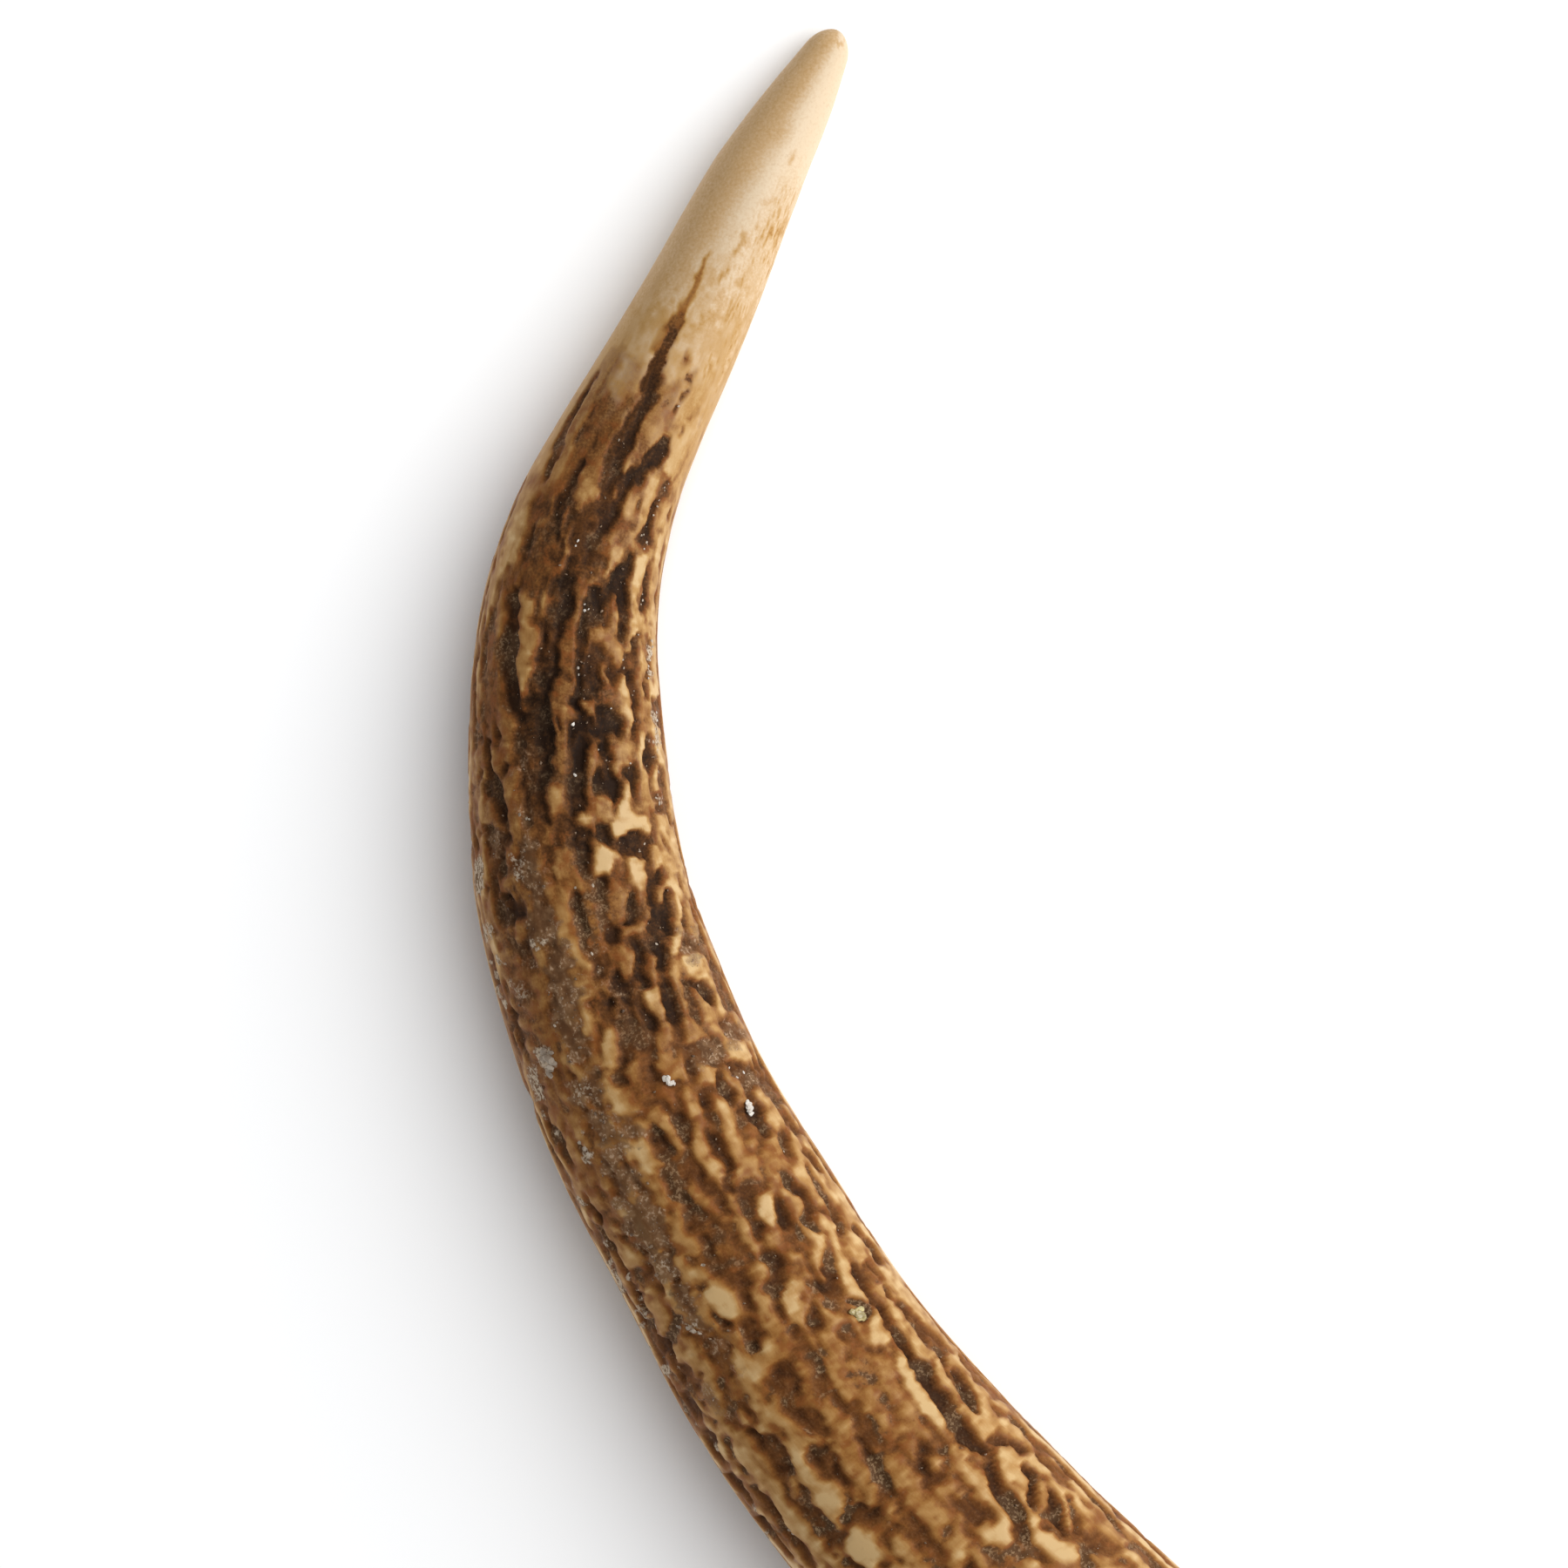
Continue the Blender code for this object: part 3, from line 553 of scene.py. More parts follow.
# %% Marks below the bend
LOWER_BEND_MARKS = (
    (0.38, (100, -57, -47), (103, -56, -46)), (0.2, (100, -46, -42), (103, -47, -42)),
    (0.52, (102, -40, -36), (104, -47, -36), (105, -47, -37)),
    (0.46, (107.6, -60, -44), (110, -60, -46)), (0.2, (102.6, -56, -48), (104.4, -57, -49)),
    (0.13, (105, -48, -38), (106, -54, -33), (107.2, -54, -36), (108, -50, -44)),
    (0.54, (108, -43, -36), (109.6, -42, -36)), (0.22, (109.8, -46, -37), (111.8, -44, -36)),
    (0.46, (111.8, -60, -34), (118, -60, -33), (124, -60, -38)),
    (0.56, (113.6, -42, -34), (116.4, -40, -34)), (0.6, (113.4, -77, -68), (117, -77, -68)),
    (0.52, (104.4, -68, -58), (107, -66, -58)), (0.86, (100, 62, 76), (103.6, 62, 76)),
    (0.76, (103.6, 52, 76), (110, 60, 76)), (0.72, (109, 58, 70), (114.6, 56, 68)),
    (0.26, (98, -5, 0), (101, -4, 0)),
    (0.68, (100.3, -12, -5), (101.4, -13, -3), (102.4, -13, -3), (103.5, -9, -4)),
    (0.46, (103.5, -10, -2), (105.4, -9, -2)),
    (0.7, (105.4, -11, -5), (107, -14, -5), (108.2, -14, -6), (109.4, -18, -7), (110.4, -18, -8),
     (112, -14, -7), (113.4, -13, -6), (115, -15, -8), (116.4, -18, -7), (118, -20, -8)),
    (0.09, (99.4, 0, 9), (100.4, 0, 10), (102, 0, 8), (103, 1, 7), (103.9, 3, 6)),
    (0.95, (100.4, 12, 17), (101, 10, 20), (102, 8, 23), (103, 7, 24), (104, 8, 21),
     (104.7, 12, 16)), (0.36, (103.4, 19, 25), (107.4, 20, 25)), (0.5, (104, 1, 8), (105.6, 1, 7)),
    (0.08, (104.4, 7, 13), (105.6, 8, 14), (106.6, 5, 12), (107.4, 6, 12)),
    (0.1, (105.8, -4, 0), (107, -5, 2), (108.4, -6, 1), (110.6, -6, -2)),
    (0.46, (107, 2, 6), (109, 0, 6), (111, 1, 5), (113, 1, 6), (113.7, 3, 9)),
    (0.2, (107.6, 7, 12), (109.8, 6, 11)),
    (0.05, (110, 6, 12), (111, 6, 14), (112, 6, 16), (113, 7, 14)),
    (0.5, (106, 15, 19), (107.2, 14, 22), (108.6, 12, 22), (110, 12, 20), (110.7, 13, 18)),
    (0.1, (107.6, 24, 28), (109, 22, 27), (110.4, 20, 24), (111.3, 20, 23)),
    (0.93, (102.4, 26, 33), (103.3, 26, 38), (104.3, 27, 38), (105.4, 27, 37), (106.4, 27, 35),
     (108.1, 29, 32)),
    (0.17, (100.2, 25, 46), (101.2, 24, 46), (102.2, 28, 44), (103, 38, 42), (104.2, 38, 41)),
    (0.86, (101.2, 46, 54), (102.6, 42, 54), (103.6, 42, 55), (104.6, 42, 48), (105.4, 42, 45)),
    (0.17, (104.4, 47, 50), (105.4, 39, 49), (106.4, 37, 47), (107.6, 36, 43), (109, 33, 39),
     (110.3, 31, 38)), (0.74, (107.8, 43, 50), (109, 40, 46), (110.2, 37, 41)),
    (0.9, (106, 52, 62), (107, 46, 62), (108, 48, 62), (109.2, 54, 63), (110.4, 52, 60),
     (112, 47, 56), (113.2, 44, 52), (114.2, 37, 50), (115.2, 34, 46), (116, 33, 43),
     (116.7, 37, 41)),
    (0.15, (108.3, 50, 53), (109.2, 47, 53), (110.2, 36, 49), (111.2, 31, 46), (112.2, 30, 45),
     (113.2, 31, 44), (113.9, 31, 36)), (0.5, (106, 62, 66), (109, 63, 66)),
    (0.36, (110.6, 58, 60), (112, 54, 57), (114, 51, 54)),
    (0.38, (114.3, 48, 54), (115.2, 46, 62), (116.4, 46, 64), (117.6, 58, 64)),
    (0.97, (116.7, 42, 54), (117.5, 40, 58), (118.2, 42, 60)),
    (0.74, (116.9, 32, 39), (118, 29, 41)), (0.68, (111.2, 20, 30), (112, 17, 30), (112.8, 16, 28)),
    (0.62, (113, 10, 15), (114, 8, 16), (115.2, 8, 15), (116.6, 11, 15)),
    (0.1, (113, 18, 23), (115, 16, 22), (117, 14, 20), (118.4, 14, 20)),
    (0.62, (114.8, 22, 25), (116, 21, 27), (118, 20, 26)),
    (0.08, (113.8, 28, 31), (114.7, 27, 34), (116, 27, 33), (117.3, 26, 30)),
    (0.1, (115.4, 2, 6), (116.6, 1, 9), (118, 2, 10)), (0.3, (113.5, -7, 4), (115.8, -8, 4)),
    (0.56, (115.8, -8, 1), (118, -8, 1)),
)
print("marks below the bend:", len(LOWER_BEND_MARKS))

# %% Marks of the lower shaft
LOWER_MARKS = (
    (0.26, (116, -70, -62), (121, -69, -62)), (0.54, (120, -78, -68), (122, -76, -68)),
    (0.4, (124, -58, -36), (127, -58, -36)), (0.5, (127, -60, -36), (130, -60, -36)),
    (0.56, (128, -60, -50), (129.6, -60, -52)),
    (0.16, (129, -68, -61), (131, -68, -58), (133, -66, -57), (134.4, -63, -57)),
    (0.58, (129, -46, -36), (130.2, -52, -36), (131.2, -57, -42), (132.4, -58, -47),
     (134, -56, -47)), (0.52, (133.4, -42, -36), (135, -44, -35), (137.6, -43, -37)),
    (0.74, (117.6, -19, -10), (119, -19, -12), (120.6, -19, -12), (121.6, -18, -15)),
    (0.76, (121, -11, -6), (122, -14, -4), (123, -17, -5), (124, -19, -8), (125.6, -18, -8),
     (127, -18, -12), (128, -21, -14), (129, -22, -11), (130, -23, -9), (131, -20, -7),
     (131.9, -11, -6)), (0.86, (129, -20, -14), (130.2, -20, -14)),
    (0.2, (127.3, -15, -12), (128.6, -15, -11)), (0.2, (118.2, -14, -11), (119.4, -13, -11)),
    (0.36, (118, -11, -1), (121.4, -10, -1)), (0.16, (117.4, -5, -1), (119.4, -5, -2)),
    (0.24, (123.3, -6, -1), (124.5, -8, 0), (125.5, -7, 0), (126.4, -4, 0)),
    (0.22, (120, 0, 6), (121, 1, 8), (123, 1, 8), (124, 1, 9), (125, 2, 11), (126, 2, 11),
     (127, 3, 8), (128, 4, 6)), (0.48, (118.4, 0, 3), (119.3, -2, 4), (120.1, -1, 4)),
    (0.1, (117.6, 2, 9), (119, 3, 9), (120.1, 6, 9)),
    (0.08, (117.6, 14, 21), (118.4, 14, 22), (118.9, 16, 21)),
    (0.6, (119.4, 16, 23), (122, 15, 20), (124, 16, 22), (125, 12, 22), (126.4, 11, 20)),
    (0.78, (119.2, 16, 23), (120, 12, 24), (121, 14, 23), (121.9, 17, 20)),
    (0.1, (121, 10, 13), (122, 10, 16), (123, 10, 17), (123.9, 12, 16)),
    (0.11, (118.5, 27, 29), (119.5, 25, 31), (120.5, 24, 31), (121.5, 23, 29), (122.6, 21, 30),
     (123.5, 22, 31), (124.4, 23, 29)),
    (0.78, (117.2, 31, 37), (118.2, 29, 37), (119.2, 29, 36), (119.9, 31, 35)),
    (0.56, (120, 32, 35), (123, 32, 34)), (0.28, (121.4, 34, 38), (124, 34, 38)),
    (0.62, (123.8, 29, 33), (125, 28, 38), (126.3, 31, 38)),
    (0.72, (120.6, 42, 45), (121.6, 41, 46), (123, 41, 49), (124.6, 41, 50), (126.6, 40, 45)),
    (0.16, (119.3, 38, 54), (120.1, 36, 55), (121, 46, 56), (122, 48, 57), (123, 48, 57),
     (123.8, 49, 54)),
    (0.84, (118.6, 43, 60), (119.3, 45, 60), (120, 56, 61), (122, 57, 61), (123.2, 55, 61),
     (124.2, 53, 61), (125.3, 52, 60)), (0.98, (116.9, 43, 56), (118.6, 43, 57)),
    (0.38, (119, 63, 76), (125, 63, 76)), (0.6, (115.6, 63, 70), (118.6, 63, 69)),
    (0.72, (124.6, 63, 74), (127.4, 62, 76)),
    (0.34, (125.6, 50, 60), (126.6, 50, 66), (127.6, 55, 70), (128.8, 60, 72)),
    (0.28, (126, 24, 30), (127, 24, 38), (128, 26, 45), (129, 28, 46), (130, 33, 44)),
    (0.64, (126.6, 11, 19), (128, 8, 22), (129, 9, 21), (130.2, 12, 20)),
    (0.14, (127.8, 23, 27), (129.6, 21, 26), (131.4, 20, 22)),
    (0.38, (129.6, -7, 9), (131.8, -7, 22)),
    (0.86, (127.7, 50, 54), (128.6, 47, 58), (129.6, 45, 62), (130.5, 50, 66), (131.4, 56, 66),
     (132.3, 59, 63)),
    (0.25, (130.2, 44, 50), (131.2, 46, 55), (132.2, 45, 57), (133.4, 48, 61), (135, 49, 60)),
    (0.85, (129.5, 28, 32), (130.4, 25, 36), (131.4, 24, 36), (132.3, 25, 34), (133.1, 27, 32)),
    (0.7, (130.5, 39, 42), (132, 39, 45), (133.5, 40, 46), (136.6, 38, 44)),
    (0.12, (131.5, 33, 37), (134.6, 32, 37), (137, 33, 36)),
    (0.76, (132.3, -5, 0), (133.3, -6, 3), (134.3, -4, 4), (135.4, -2, 3), (137, -1, 2)),
    (0.17, (132.6, 4, 9), (134, 4, 10), (135.6, 3, 10), (136.7, 2, 9)),
    (0.82, (132.4, 13, 18), (133.4, 11, 20), (134.6, 11, 19), (135.5, 12, 18)),
    (0.2, (133, 22, 28), (134, 21, 28), (136.2, 19, 24)),
    (0.82, (133.8, 28, 31), (135, 26, 32), (136.4, 25, 33), (138, 22, 32), (139.4, 22, 30)),
    (0.72, (139, 22, 30), (141, 21, 30), (142.6, 19, 30), (144, 16, 29), (144.9, 17, 25)),
    (0.84, (133.4, -19, -13), (134.4, -22, -12), (136.4, -22, -12), (138, -21, -12),
     (138.9, -18, -13)),
    (0.62, (138.6, -20, -12), (140.5, -24, -16), (142, -22, -14), (143.4, -20, -12),
     (145, -20, -15)), (0.15, (134, -11, -6), (135.6, -11, -2), (137.4, -8, -3)),
    (0.78, (136.8, 6, 12), (137.8, 4, 13), (139.6, 6, 15), (140.6, 6, 16), (141.6, 4, 11),
     (142.7, 5, 9)), (0.9, (141.1, 12, 15), (142.4, 10, 13), (143.8, 10, 12)),
    (0.27, (137.9, -6, 5), (139, -8, 6), (140.2, -9, 6), (141, -5, 5), (142.5, 0, 3)),
    (0.2, (137, 14, 17), (138, 14, 20), (140, 16, 21), (142, 15, 19), (143, 12, 17), (145, 10, 14)),
    (0.17, (139.6, -14, -10), (140.8, -16, -9), (142, -14, -8), (143.6, -11, -5), (144.8, -13, -5),
     (146, -17, -6)), (0.64, (141, -5, -1), (142, -7, 0), (144, -5, 1), (146, -2, 2)),
    (0.23, (143, 1, 7), (144.4, 1, 8), (146, 2, 6)),
    (0.76, (144.6, 8, 10), (146, 6, 11), (148, 6, 11), (149, 4, 11), (150.4, 4, 11), (151.8, 7, 9)),
    (0.4, (147, -4, 3), (148.6, -7, 4), (151, -8, 4), (153, -6, 2)),
    (0.34, (144.8, 14, 30), (146, 12, 28), (146.8, 13, 20)),
    (0.19, (146.4, 12, 18), (148, 11, 16), (149.6, 11, 16), (151.3, 11, 15)),
    (0.87, (146.8, 22, 27), (147.6, 18, 30), (148.6, 16, 28), (149.6, 16, 25), (150.5, 19, 24)),
    (0.68, (150.6, 17, 23), (152, 12, 18), (153.2, 13, 18)),
    (0.09, (147.8, 29, 32), (148.8, 27, 33), (150.8, 26, 31), (151.7, 25, 29)),
    (0.46, (136.4, 31, 36), (139.4, 30, 38)), (0.3, (136.6, 36, 41), (138.4, 34, 41)),
    (0.14, (138, 42, 53), (138.8, 38, 52), (139.5, 41, 47), (140.6, 41, 45), (141.7, 42, 45)),
    (0.78, (135.8, 52, 60), (137, 53, 61), (138.6, 54, 62)),
    (0.8, (139, 51, 62), (140, 47, 62), (141, 47, 60), (142.1, 49, 55)),
    (0.6, (142, 31, 48), (143.6, 30, 47), (145.2, 30, 46), (146.8, 31, 39)),
    (0.22, (141.4, 53, 58), (142.4, 51, 58), (143.6, 49, 56), (144.6, 49, 54), (145.6, 51, 53)),
    (0.82, (143, 57, 63), (145, 54, 62), (146, 49, 60), (147, 46, 57), (148, 44, 55),
     (149.4, 47, 54), (151.2, 49, 53)),
    (0.16, (146, 40, 43), (147, 38, 44), (148.4, 38, 44), (149.4, 39, 46), (150.4, 41, 47),
     (151.6, 42, 45)), (0.8, (147, 33, 37), (149, 33, 40), (150.2, 33, 41), (151.2, 34, 38)),
    (0.18, (151.2, 36, 40), (152.4, 35, 40), (153.9, 37, 39)),
    (0.36, (136, 64, 72), (139, 63, 72), (141, 61, 70), (143.4, 65, 76)),
    (0.76, (139, 70, 78), (142, 72, 78)), (0.76, (144, 62, 76), (146, 65, 76)),
    (0.36, (145.6, 60, 65), (147, 61, 68), (148.4, 63, 68)),
    (0.88, (146.8, 58, 61), (148.4, 57, 62), (150, 58, 66), (151.4, 59, 68), (152.4, 60, 66)),
    (0.25, (150, 54, 58), (152, 52, 57), (154, 52, 56)), (0.74, (152.4, 58, 76), (156, 60, 76)),
    (0.14, (138, -64, -56), (139.4, -64, -54), (140.6, -61, -57)),
    (0.2, (141, -64, -59), (146, -64, -59), (152, -65, -60)),
    (0.5, (134, -58, -45), (138, -58, -42), (141, -58, -42)),
    (0.62, (141, -58, -50), (143.6, -59, -50), (145, -58, -45), (146.2, -56, -42),
     (147.2, -54, -45)), (0.4, (142.2, -51, -42), (144.4, -49, -42)),
    (0.36, (147.4, -57, -42), (149.2, -56, -42)),
    (0.62, (144.6, -26, -18), (146, -26, -16), (147.2, -24, -14), (148.6, -20, -14)),
    (0.72, (149, -27, -20), (150, -28, -18), (151, -26, -18), (151.9, -24, -18)),
    (0.6, (150, -58, -46), (152.4, -59, -44), (155, -58, -45)),
    (0.25, (146, -14, -8), (149, -14, -9), (152, -13, -7)),
)
print("marks of the lower shaft:", len(LOWER_MARKS))

# %% Marks near the saw cut
BASE_MARKS = (
    (0.24, (153, -72, -59), (157, -70, -58)), (0.14, (156.6, -62, -57), (158.6, -62, -57)),
    (0.36, (154.2, -54, -40), (156.6, -54, -38)),
    (0.62, (157, -56, -49), (158, -55, -40), (159, -56, -40), (160, -52, -43)),
    (0.28, (159.6, -62, -52), (162.4, -62, -52)),
    (0.13, (162, -73, -62), (163.4, -74, -60), (165, -70, -61)),
    (0.64, (160.6, -46, -40), (161.8, -50, -40), (163.4, -53, -40), (165.2, -52, -43)),
    (0.4, (157, -38, -28), (166, -40, -28)),
    (0.66, (165.6, -52, -47), (167.6, -53, -46), (169, -52, -40), (171, -53, -41), (172, -54, -45)),
    (0.4, (165.4, -47, -39), (167.8, -45, -39)), (0.5, (169.6, -74, -56), (171.4, -72, -56)),
    (0.92, (152.4, -22, -15), (153.4, -26, -12), (154.8, -26, -12), (156.2, -24, -12),
     (157.3, -19, -15)), (0.54, (158, -25, -18), (160.4, -26, -18)),
    (0.23, (157.6, -15, -10), (159.4, -16, -9), (160.6, -18, -9), (161.5, -18, -14)),
    (0.82, (160.6, -26, -19), (161.6, -27, -17), (162.8, -27, -16), (163.8, -24, -9),
     (164.3, -20, -12)),
    (0.84, (160.7, -12, -7), (161.8, -14, -5), (163, -14, -5), (163.8, -14, -8)),
    (0.4, (164.4, -20, -4), (168, -20, -8), (172, -18, -8)),
    (0.24, (164.4, -13, -6), (165.6, -15, -6), (167, -12, -6), (168.4, -15, -9)),
    (0.7, (166.4, -22, -18), (167.4, -26, -19), (168.6, -27, -19), (170.4, -25, -18),
     (172, -26, -17)), (0.58, (165.6, -4, -1), (167.2, -6, 0), (168.4, -8, -1)),
    (0.5, (168, -12, -3), (170.4, -11, -3)),
    (0.78, (153.2, 2, 6), (154.6, 2, 7), (155.6, 0, 6), (156.6, -5, 3), (158, -6, 2), (160, -4, 2),
     (161.1, -1, 2)), (0.23, (152.8, -5, 0), (154.4, -6, 0), (155.8, -6, -2)),
    (0.21, (152.8, 8, 16), (154, 7, 15), (155, 9, 16), (156.2, 5, 12), (158.2, 3, 6)),
    (0.88, (156, 13, 19), (157, 11, 19), (158, 7, 19), (159, 5, 16), (160, 6, 14), (161.1, 8, 11)),
    (0.34, (152, 24, 28), (158, 24, 28)), (0.74, (153.4, 18, 22), (154.4, 17, 24), (155.3, 19, 24)),
    (0.87, (152.5, 31, 35), (153.4, 31, 39), (154.3, 29, 40), (155.3, 28, 36), (157, 26, 31),
     (158.1, 27, 30)),
    (0.24, (155.6, 34, 37), (156.6, 33, 40), (157.6, 31, 39), (158.6, 29, 36), (160.1, 31, 33)),
    (0.1, (158.2, 22, 27), (159.2, 23, 30), (160.5, 23, 29)),
    (0.4, (160.6, 22, 30), (162.8, 24, 30)), (0.8, (160, 20, 22), (162.2, 20, 22)),
    (0.9, (152, 43, 48), (153.4, 42, 50), (155.4, 42, 49), (157.4, 42, 47), (158.4, 38, 46),
     (159.4, 35, 44), (161, 34, 43), (162.4, 36, 43), (163.4, 38, 42)),
    (0.2, (152, 50, 56), (154, 50, 55), (155.8, 51, 55)),
    (0.78, (156, 49, 62), (158, 47, 64), (160, 50, 60)),
    (0.16, (159, 46, 49), (160.4, 44, 49), (162, 43, 49), (163, 42, 47), (164.3, 41, 45)),
    (0.24, (157.3, 67, 71), (158.4, 65, 74), (159.5, 65, 74), (160.4, 69, 73)),
    (0.36, (159.4, 56, 59), (161, 56, 60), (162.8, 57, 60)),
    (0.78, (161, 60, 76), (164, 60, 78), (168, 66, 80), (172, 68, 80)),
    (0.9, (160.5, 62, 69), (162, 61, 70), (163.8, 62, 70)),
    (0.34, (163.4, 54, 58), (165.5, 53, 57)),
    (0.12, (161.6, 32, 35), (162.6, 31, 37), (163.6, 35, 38), (165, 35, 40), (165.8, 30, 37)),
    (0.12, (164.6, 45, 49), (165.8, 45, 50), (167, 44, 49), (168.6, 42, 47), (169.8, 42, 48),
     (171, 41, 46)),
    (0.84, (163, 48, 56), (164.4, 47, 53), (165.6, 50, 55), (167, 49, 56), (168.4, 47, 56),
     (169.8, 48, 54), (171.2, 47, 55), (172.4, 44, 55), (173.4, 45, 54), (174.6, 48, 54)),
    (0.28, (161, 0, 7), (165, 2, 7), (169, 1, 6)),
    (0.2, (160.8, 12, 18), (162, 11, 18), (163.2, 12, 16)),
    (0.7, (162.6, 18, 22), (163.6, 17, 24), (164.3, 18, 23)),
    (0.64, (164, 11, 18), (166, 9, 18), (168, 7, 16), (170, 5, 12), (172, 5, 10)),
    (0.4, (165, 19, 28), (168, 17, 27)), (0.6, (168, 22, 26), (170, 22, 28)),
    (0.95, (165.4, 39, 43), (166.3, 36, 44), (167.2, 33, 43), (168.2, 31, 42), (169.2, 32, 41),
     (169.9, 36, 40)), (0.28, (169.3, 29, 33), (170.3, 30, 34)),
    (0.26, (166, 57, 60), (167, 58, 64), (168.4, 57, 65), (170, 57, 66), (172.4, 57, 66)),
    (0.11, (166.4, -70, -63), (167.6, -76, -62), (168.6, -78, -62), (169.7, -72, -66)),
    (0.12, (171.2, -82, -67), (172.4, -80, -66), (173.6, -72, -66), (175, -70, -66)),
    (0.23, (170, -38, -30), (171, -40, -28), (173, -39, -29), (174.2, -37, -31)),
    (0.12, (176.2, -82, -70), (177, -82, -65), (178, -79, -67), (180, -73, -68), (182.6, -72, -68)),
    (0.5, (172.4, -66, -59), (175.8, -65, -58)), (0.46, (178.4, -67, -60), (182.6, -67, -60)),
    (0.22, (173.6, -59, -55), (177, -59, -54), (181, -60, -54), (184, -62, -56)),
    (0.7, (171.4, -54, -46), (173.4, -55, -41), (175, -54, -42), (177, -54, -44), (179, -52, -42),
     (181, -52, -43), (183, -54, -42), (185, -48, -42), (186.4, -44, -40)),
    (0.46, (174.4, -41, -34), (177.8, -41, -34)),
    (0.27, (178.2, -40, -35), (180, -41, -35), (182, -40, -32), (184, -41, -33)),
    (0.8, (171.8, -27, -18), (172.8, -29, -15), (174, -30, -21), (175.4, -29, -22), (177, -31, -24),
     (178, -33, -20), (179, -34, -18), (180, -33, -18), (180.9, -31, -20), (181.7, -30, -25)),
    (0.93, (178.3, -31, -23), (180.2, -31, -21)), (0.25, (170.8, -18, -12), (173.4, -13, -9)),
    (0.25, (174, -21, -11), (175, -22, -10), (176.2, -23, -12), (177.4, -24, -14),
     (178.2, -20, -14)),
    (0.66, (172.3, -7, -1), (173.4, -9, 0), (174.4, -7, 2), (175.4, -8, 0), (176.6, -11, -3),
     (178, -13, -5), (180, -15, -6), (181.4, -16, -8), (182.7, -15, -12)),
    (0.27, (171.4, 2, 5), (173.4, 1, 4)), (0.26, (174.6, 4, 9), (177, 1, 8), (179.6, 2, 8)),
    (0.22, (176.4, -2, 2), (178.4, -4, 1), (180.4, -5, 0), (182.6, -7, 0), (184.6, -7, -1)),
    (0.62, (172.2, 13, 18), (173.6, 10, 19), (175.4, 11, 18), (177, 11, 16), (178.2, 12, 15)),
    (0.66, (170.2, 22, 28), (172.4, 21, 31), (174, 20, 28), (177, 21, 27), (181.2, 21, 26)),
    (0.05, (170.6, 41, 46), (172, 41, 44), (173, 41, 45), (174, 39, 48), (175.2, 38, 48),
     (176.2, 38, 46), (177.2, 38, 43), (178.2, 38, 42), (179.2, 37, 44), (180, 36, 45),
     (181, 35, 42), (183, 34, 41), (184.4, 32, 40), (185.6, 33, 39), (186.6, 36, 44),
     (187.6, 36, 42)),
    (0.98, (171, 34, 39), (172, 32, 40), (173.4, 30, 39), (175, 29, 37), (177, 28, 38),
     (179, 27, 37), (180.4, 28, 35), (181.4, 28, 33)),
    (0.74, (181.2, 28, 33), (183, 27, 32), (184.4, 25, 31), (186, 25, 33)),
    (0.84, (185.6, 26, 32), (187, 22, 30), (188.6, 22, 29), (190, 21, 28), (191.4, 20, 26),
     (193, 22, 26)),
    (0.87, (175.2, 48, 54), (176.6, 45, 54), (178, 43, 52), (179.2, 44, 50), (180.4, 45, 48),
     (181.6, 43, 47), (183, 42, 48), (184.2, 40, 56), (185.2, 40, 54), (186, 42, 50)),
    (0.74, (179.6, 62, 69), (181, 57, 66), (182, 55, 64), (183.4, 52, 63), (184.6, 54, 60)),
    (0.09, (178, 57, 60), (179, 55, 61), (180, 51, 60), (181, 49, 57), (182, 48, 54),
     (183.9, 49, 51)), (0.82, (175.6, 62, 78), (177.2, 61, 72), (178.6, 62, 70), (180, 62, 69)),
    (0.4, (172.6, 57, 68), (175.4, 56, 66)), (0.8, (173.6, 70, 78), (175.6, 70, 78)),
    (0.44, (179.4, 70, 76), (184, 66, 74)),
    (0.2, (182.2, 14, 24), (183, 12, 16), (184.4, 11, 16), (185.4, 8, 18), (186.2, 9, 20),
     (186.9, 14, 18)), (0.74, (183.2, 17, 21), (184.1, 15, 22), (184.9, 17, 22)),
    (0.66, (180.6, 2, 10), (182, 1, 9), (184, 1, 8), (186, 0, 6), (188, -1, 8), (190, -2, 8)),
    (0.56, (180.2, 11, 20), (182, 11, 16)),
    (0.19, (181.8, -24, -18), (183, -22, -10), (184.2, -21, -12), (185.3, -20, -15)),
    (0.9, (184.3, -33, -25), (185.4, -36, -22), (186.8, -35, -21), (188.4, -31, -23)),
    (0.38, (186, -20, -12), (187.4, -20, -12)),
    (0.68, (187.8, -19, -12), (189, -20, -12), (190.6, -17, -11)),
    (0.28, (186.6, -9, -2), (189, -9, -3), (193, -8, -5)), (0.56, (186.8, 14, 20), (188.4, 14, 20)),
    (0.27, (188.8, 12, 20), (192.8, 11, 19)),
    (0.8, (191.4, 0, 5), (192.6, -1, 6), (193.6, -2, 6), (194.7, -2, 3)),
    (0.97, (193.8, 11, 18), (194.6, 10, 24), (195.5, 10, 23), (196.7, 16, 20)),
    (0.88, (192.8, 22, 25), (194.6, 20, 26)), (0.5, (186.2, 31, 37), (188, 30, 34)),
    (0.05, (188.2, 34, 42), (189.4, 31, 38), (190.4, 28, 36), (191.4, 27, 34), (193.6, 26, 33),
     (195.6, 25, 32), (196.8, 24, 32), (198.3, 26, 30)),
    (0.9, (188.3, 43, 46), (189.2, 41, 48), (190.2, 37, 49), (191.2, 36, 50), (192.2, 37, 45),
     (193.4, 36, 41), (194.6, 34, 37), (196, 33, 36), (197.2, 30, 36), (198.4, 27, 34),
     (199.6, 25, 33), (200.6, 25, 36), (201.6, 26, 39), (203.6, 30, 36)),
    (0.08, (192, 47, 51), (192.8, 44, 51), (194, 41, 47), (195.2, 37, 43), (196.2, 36, 39)),
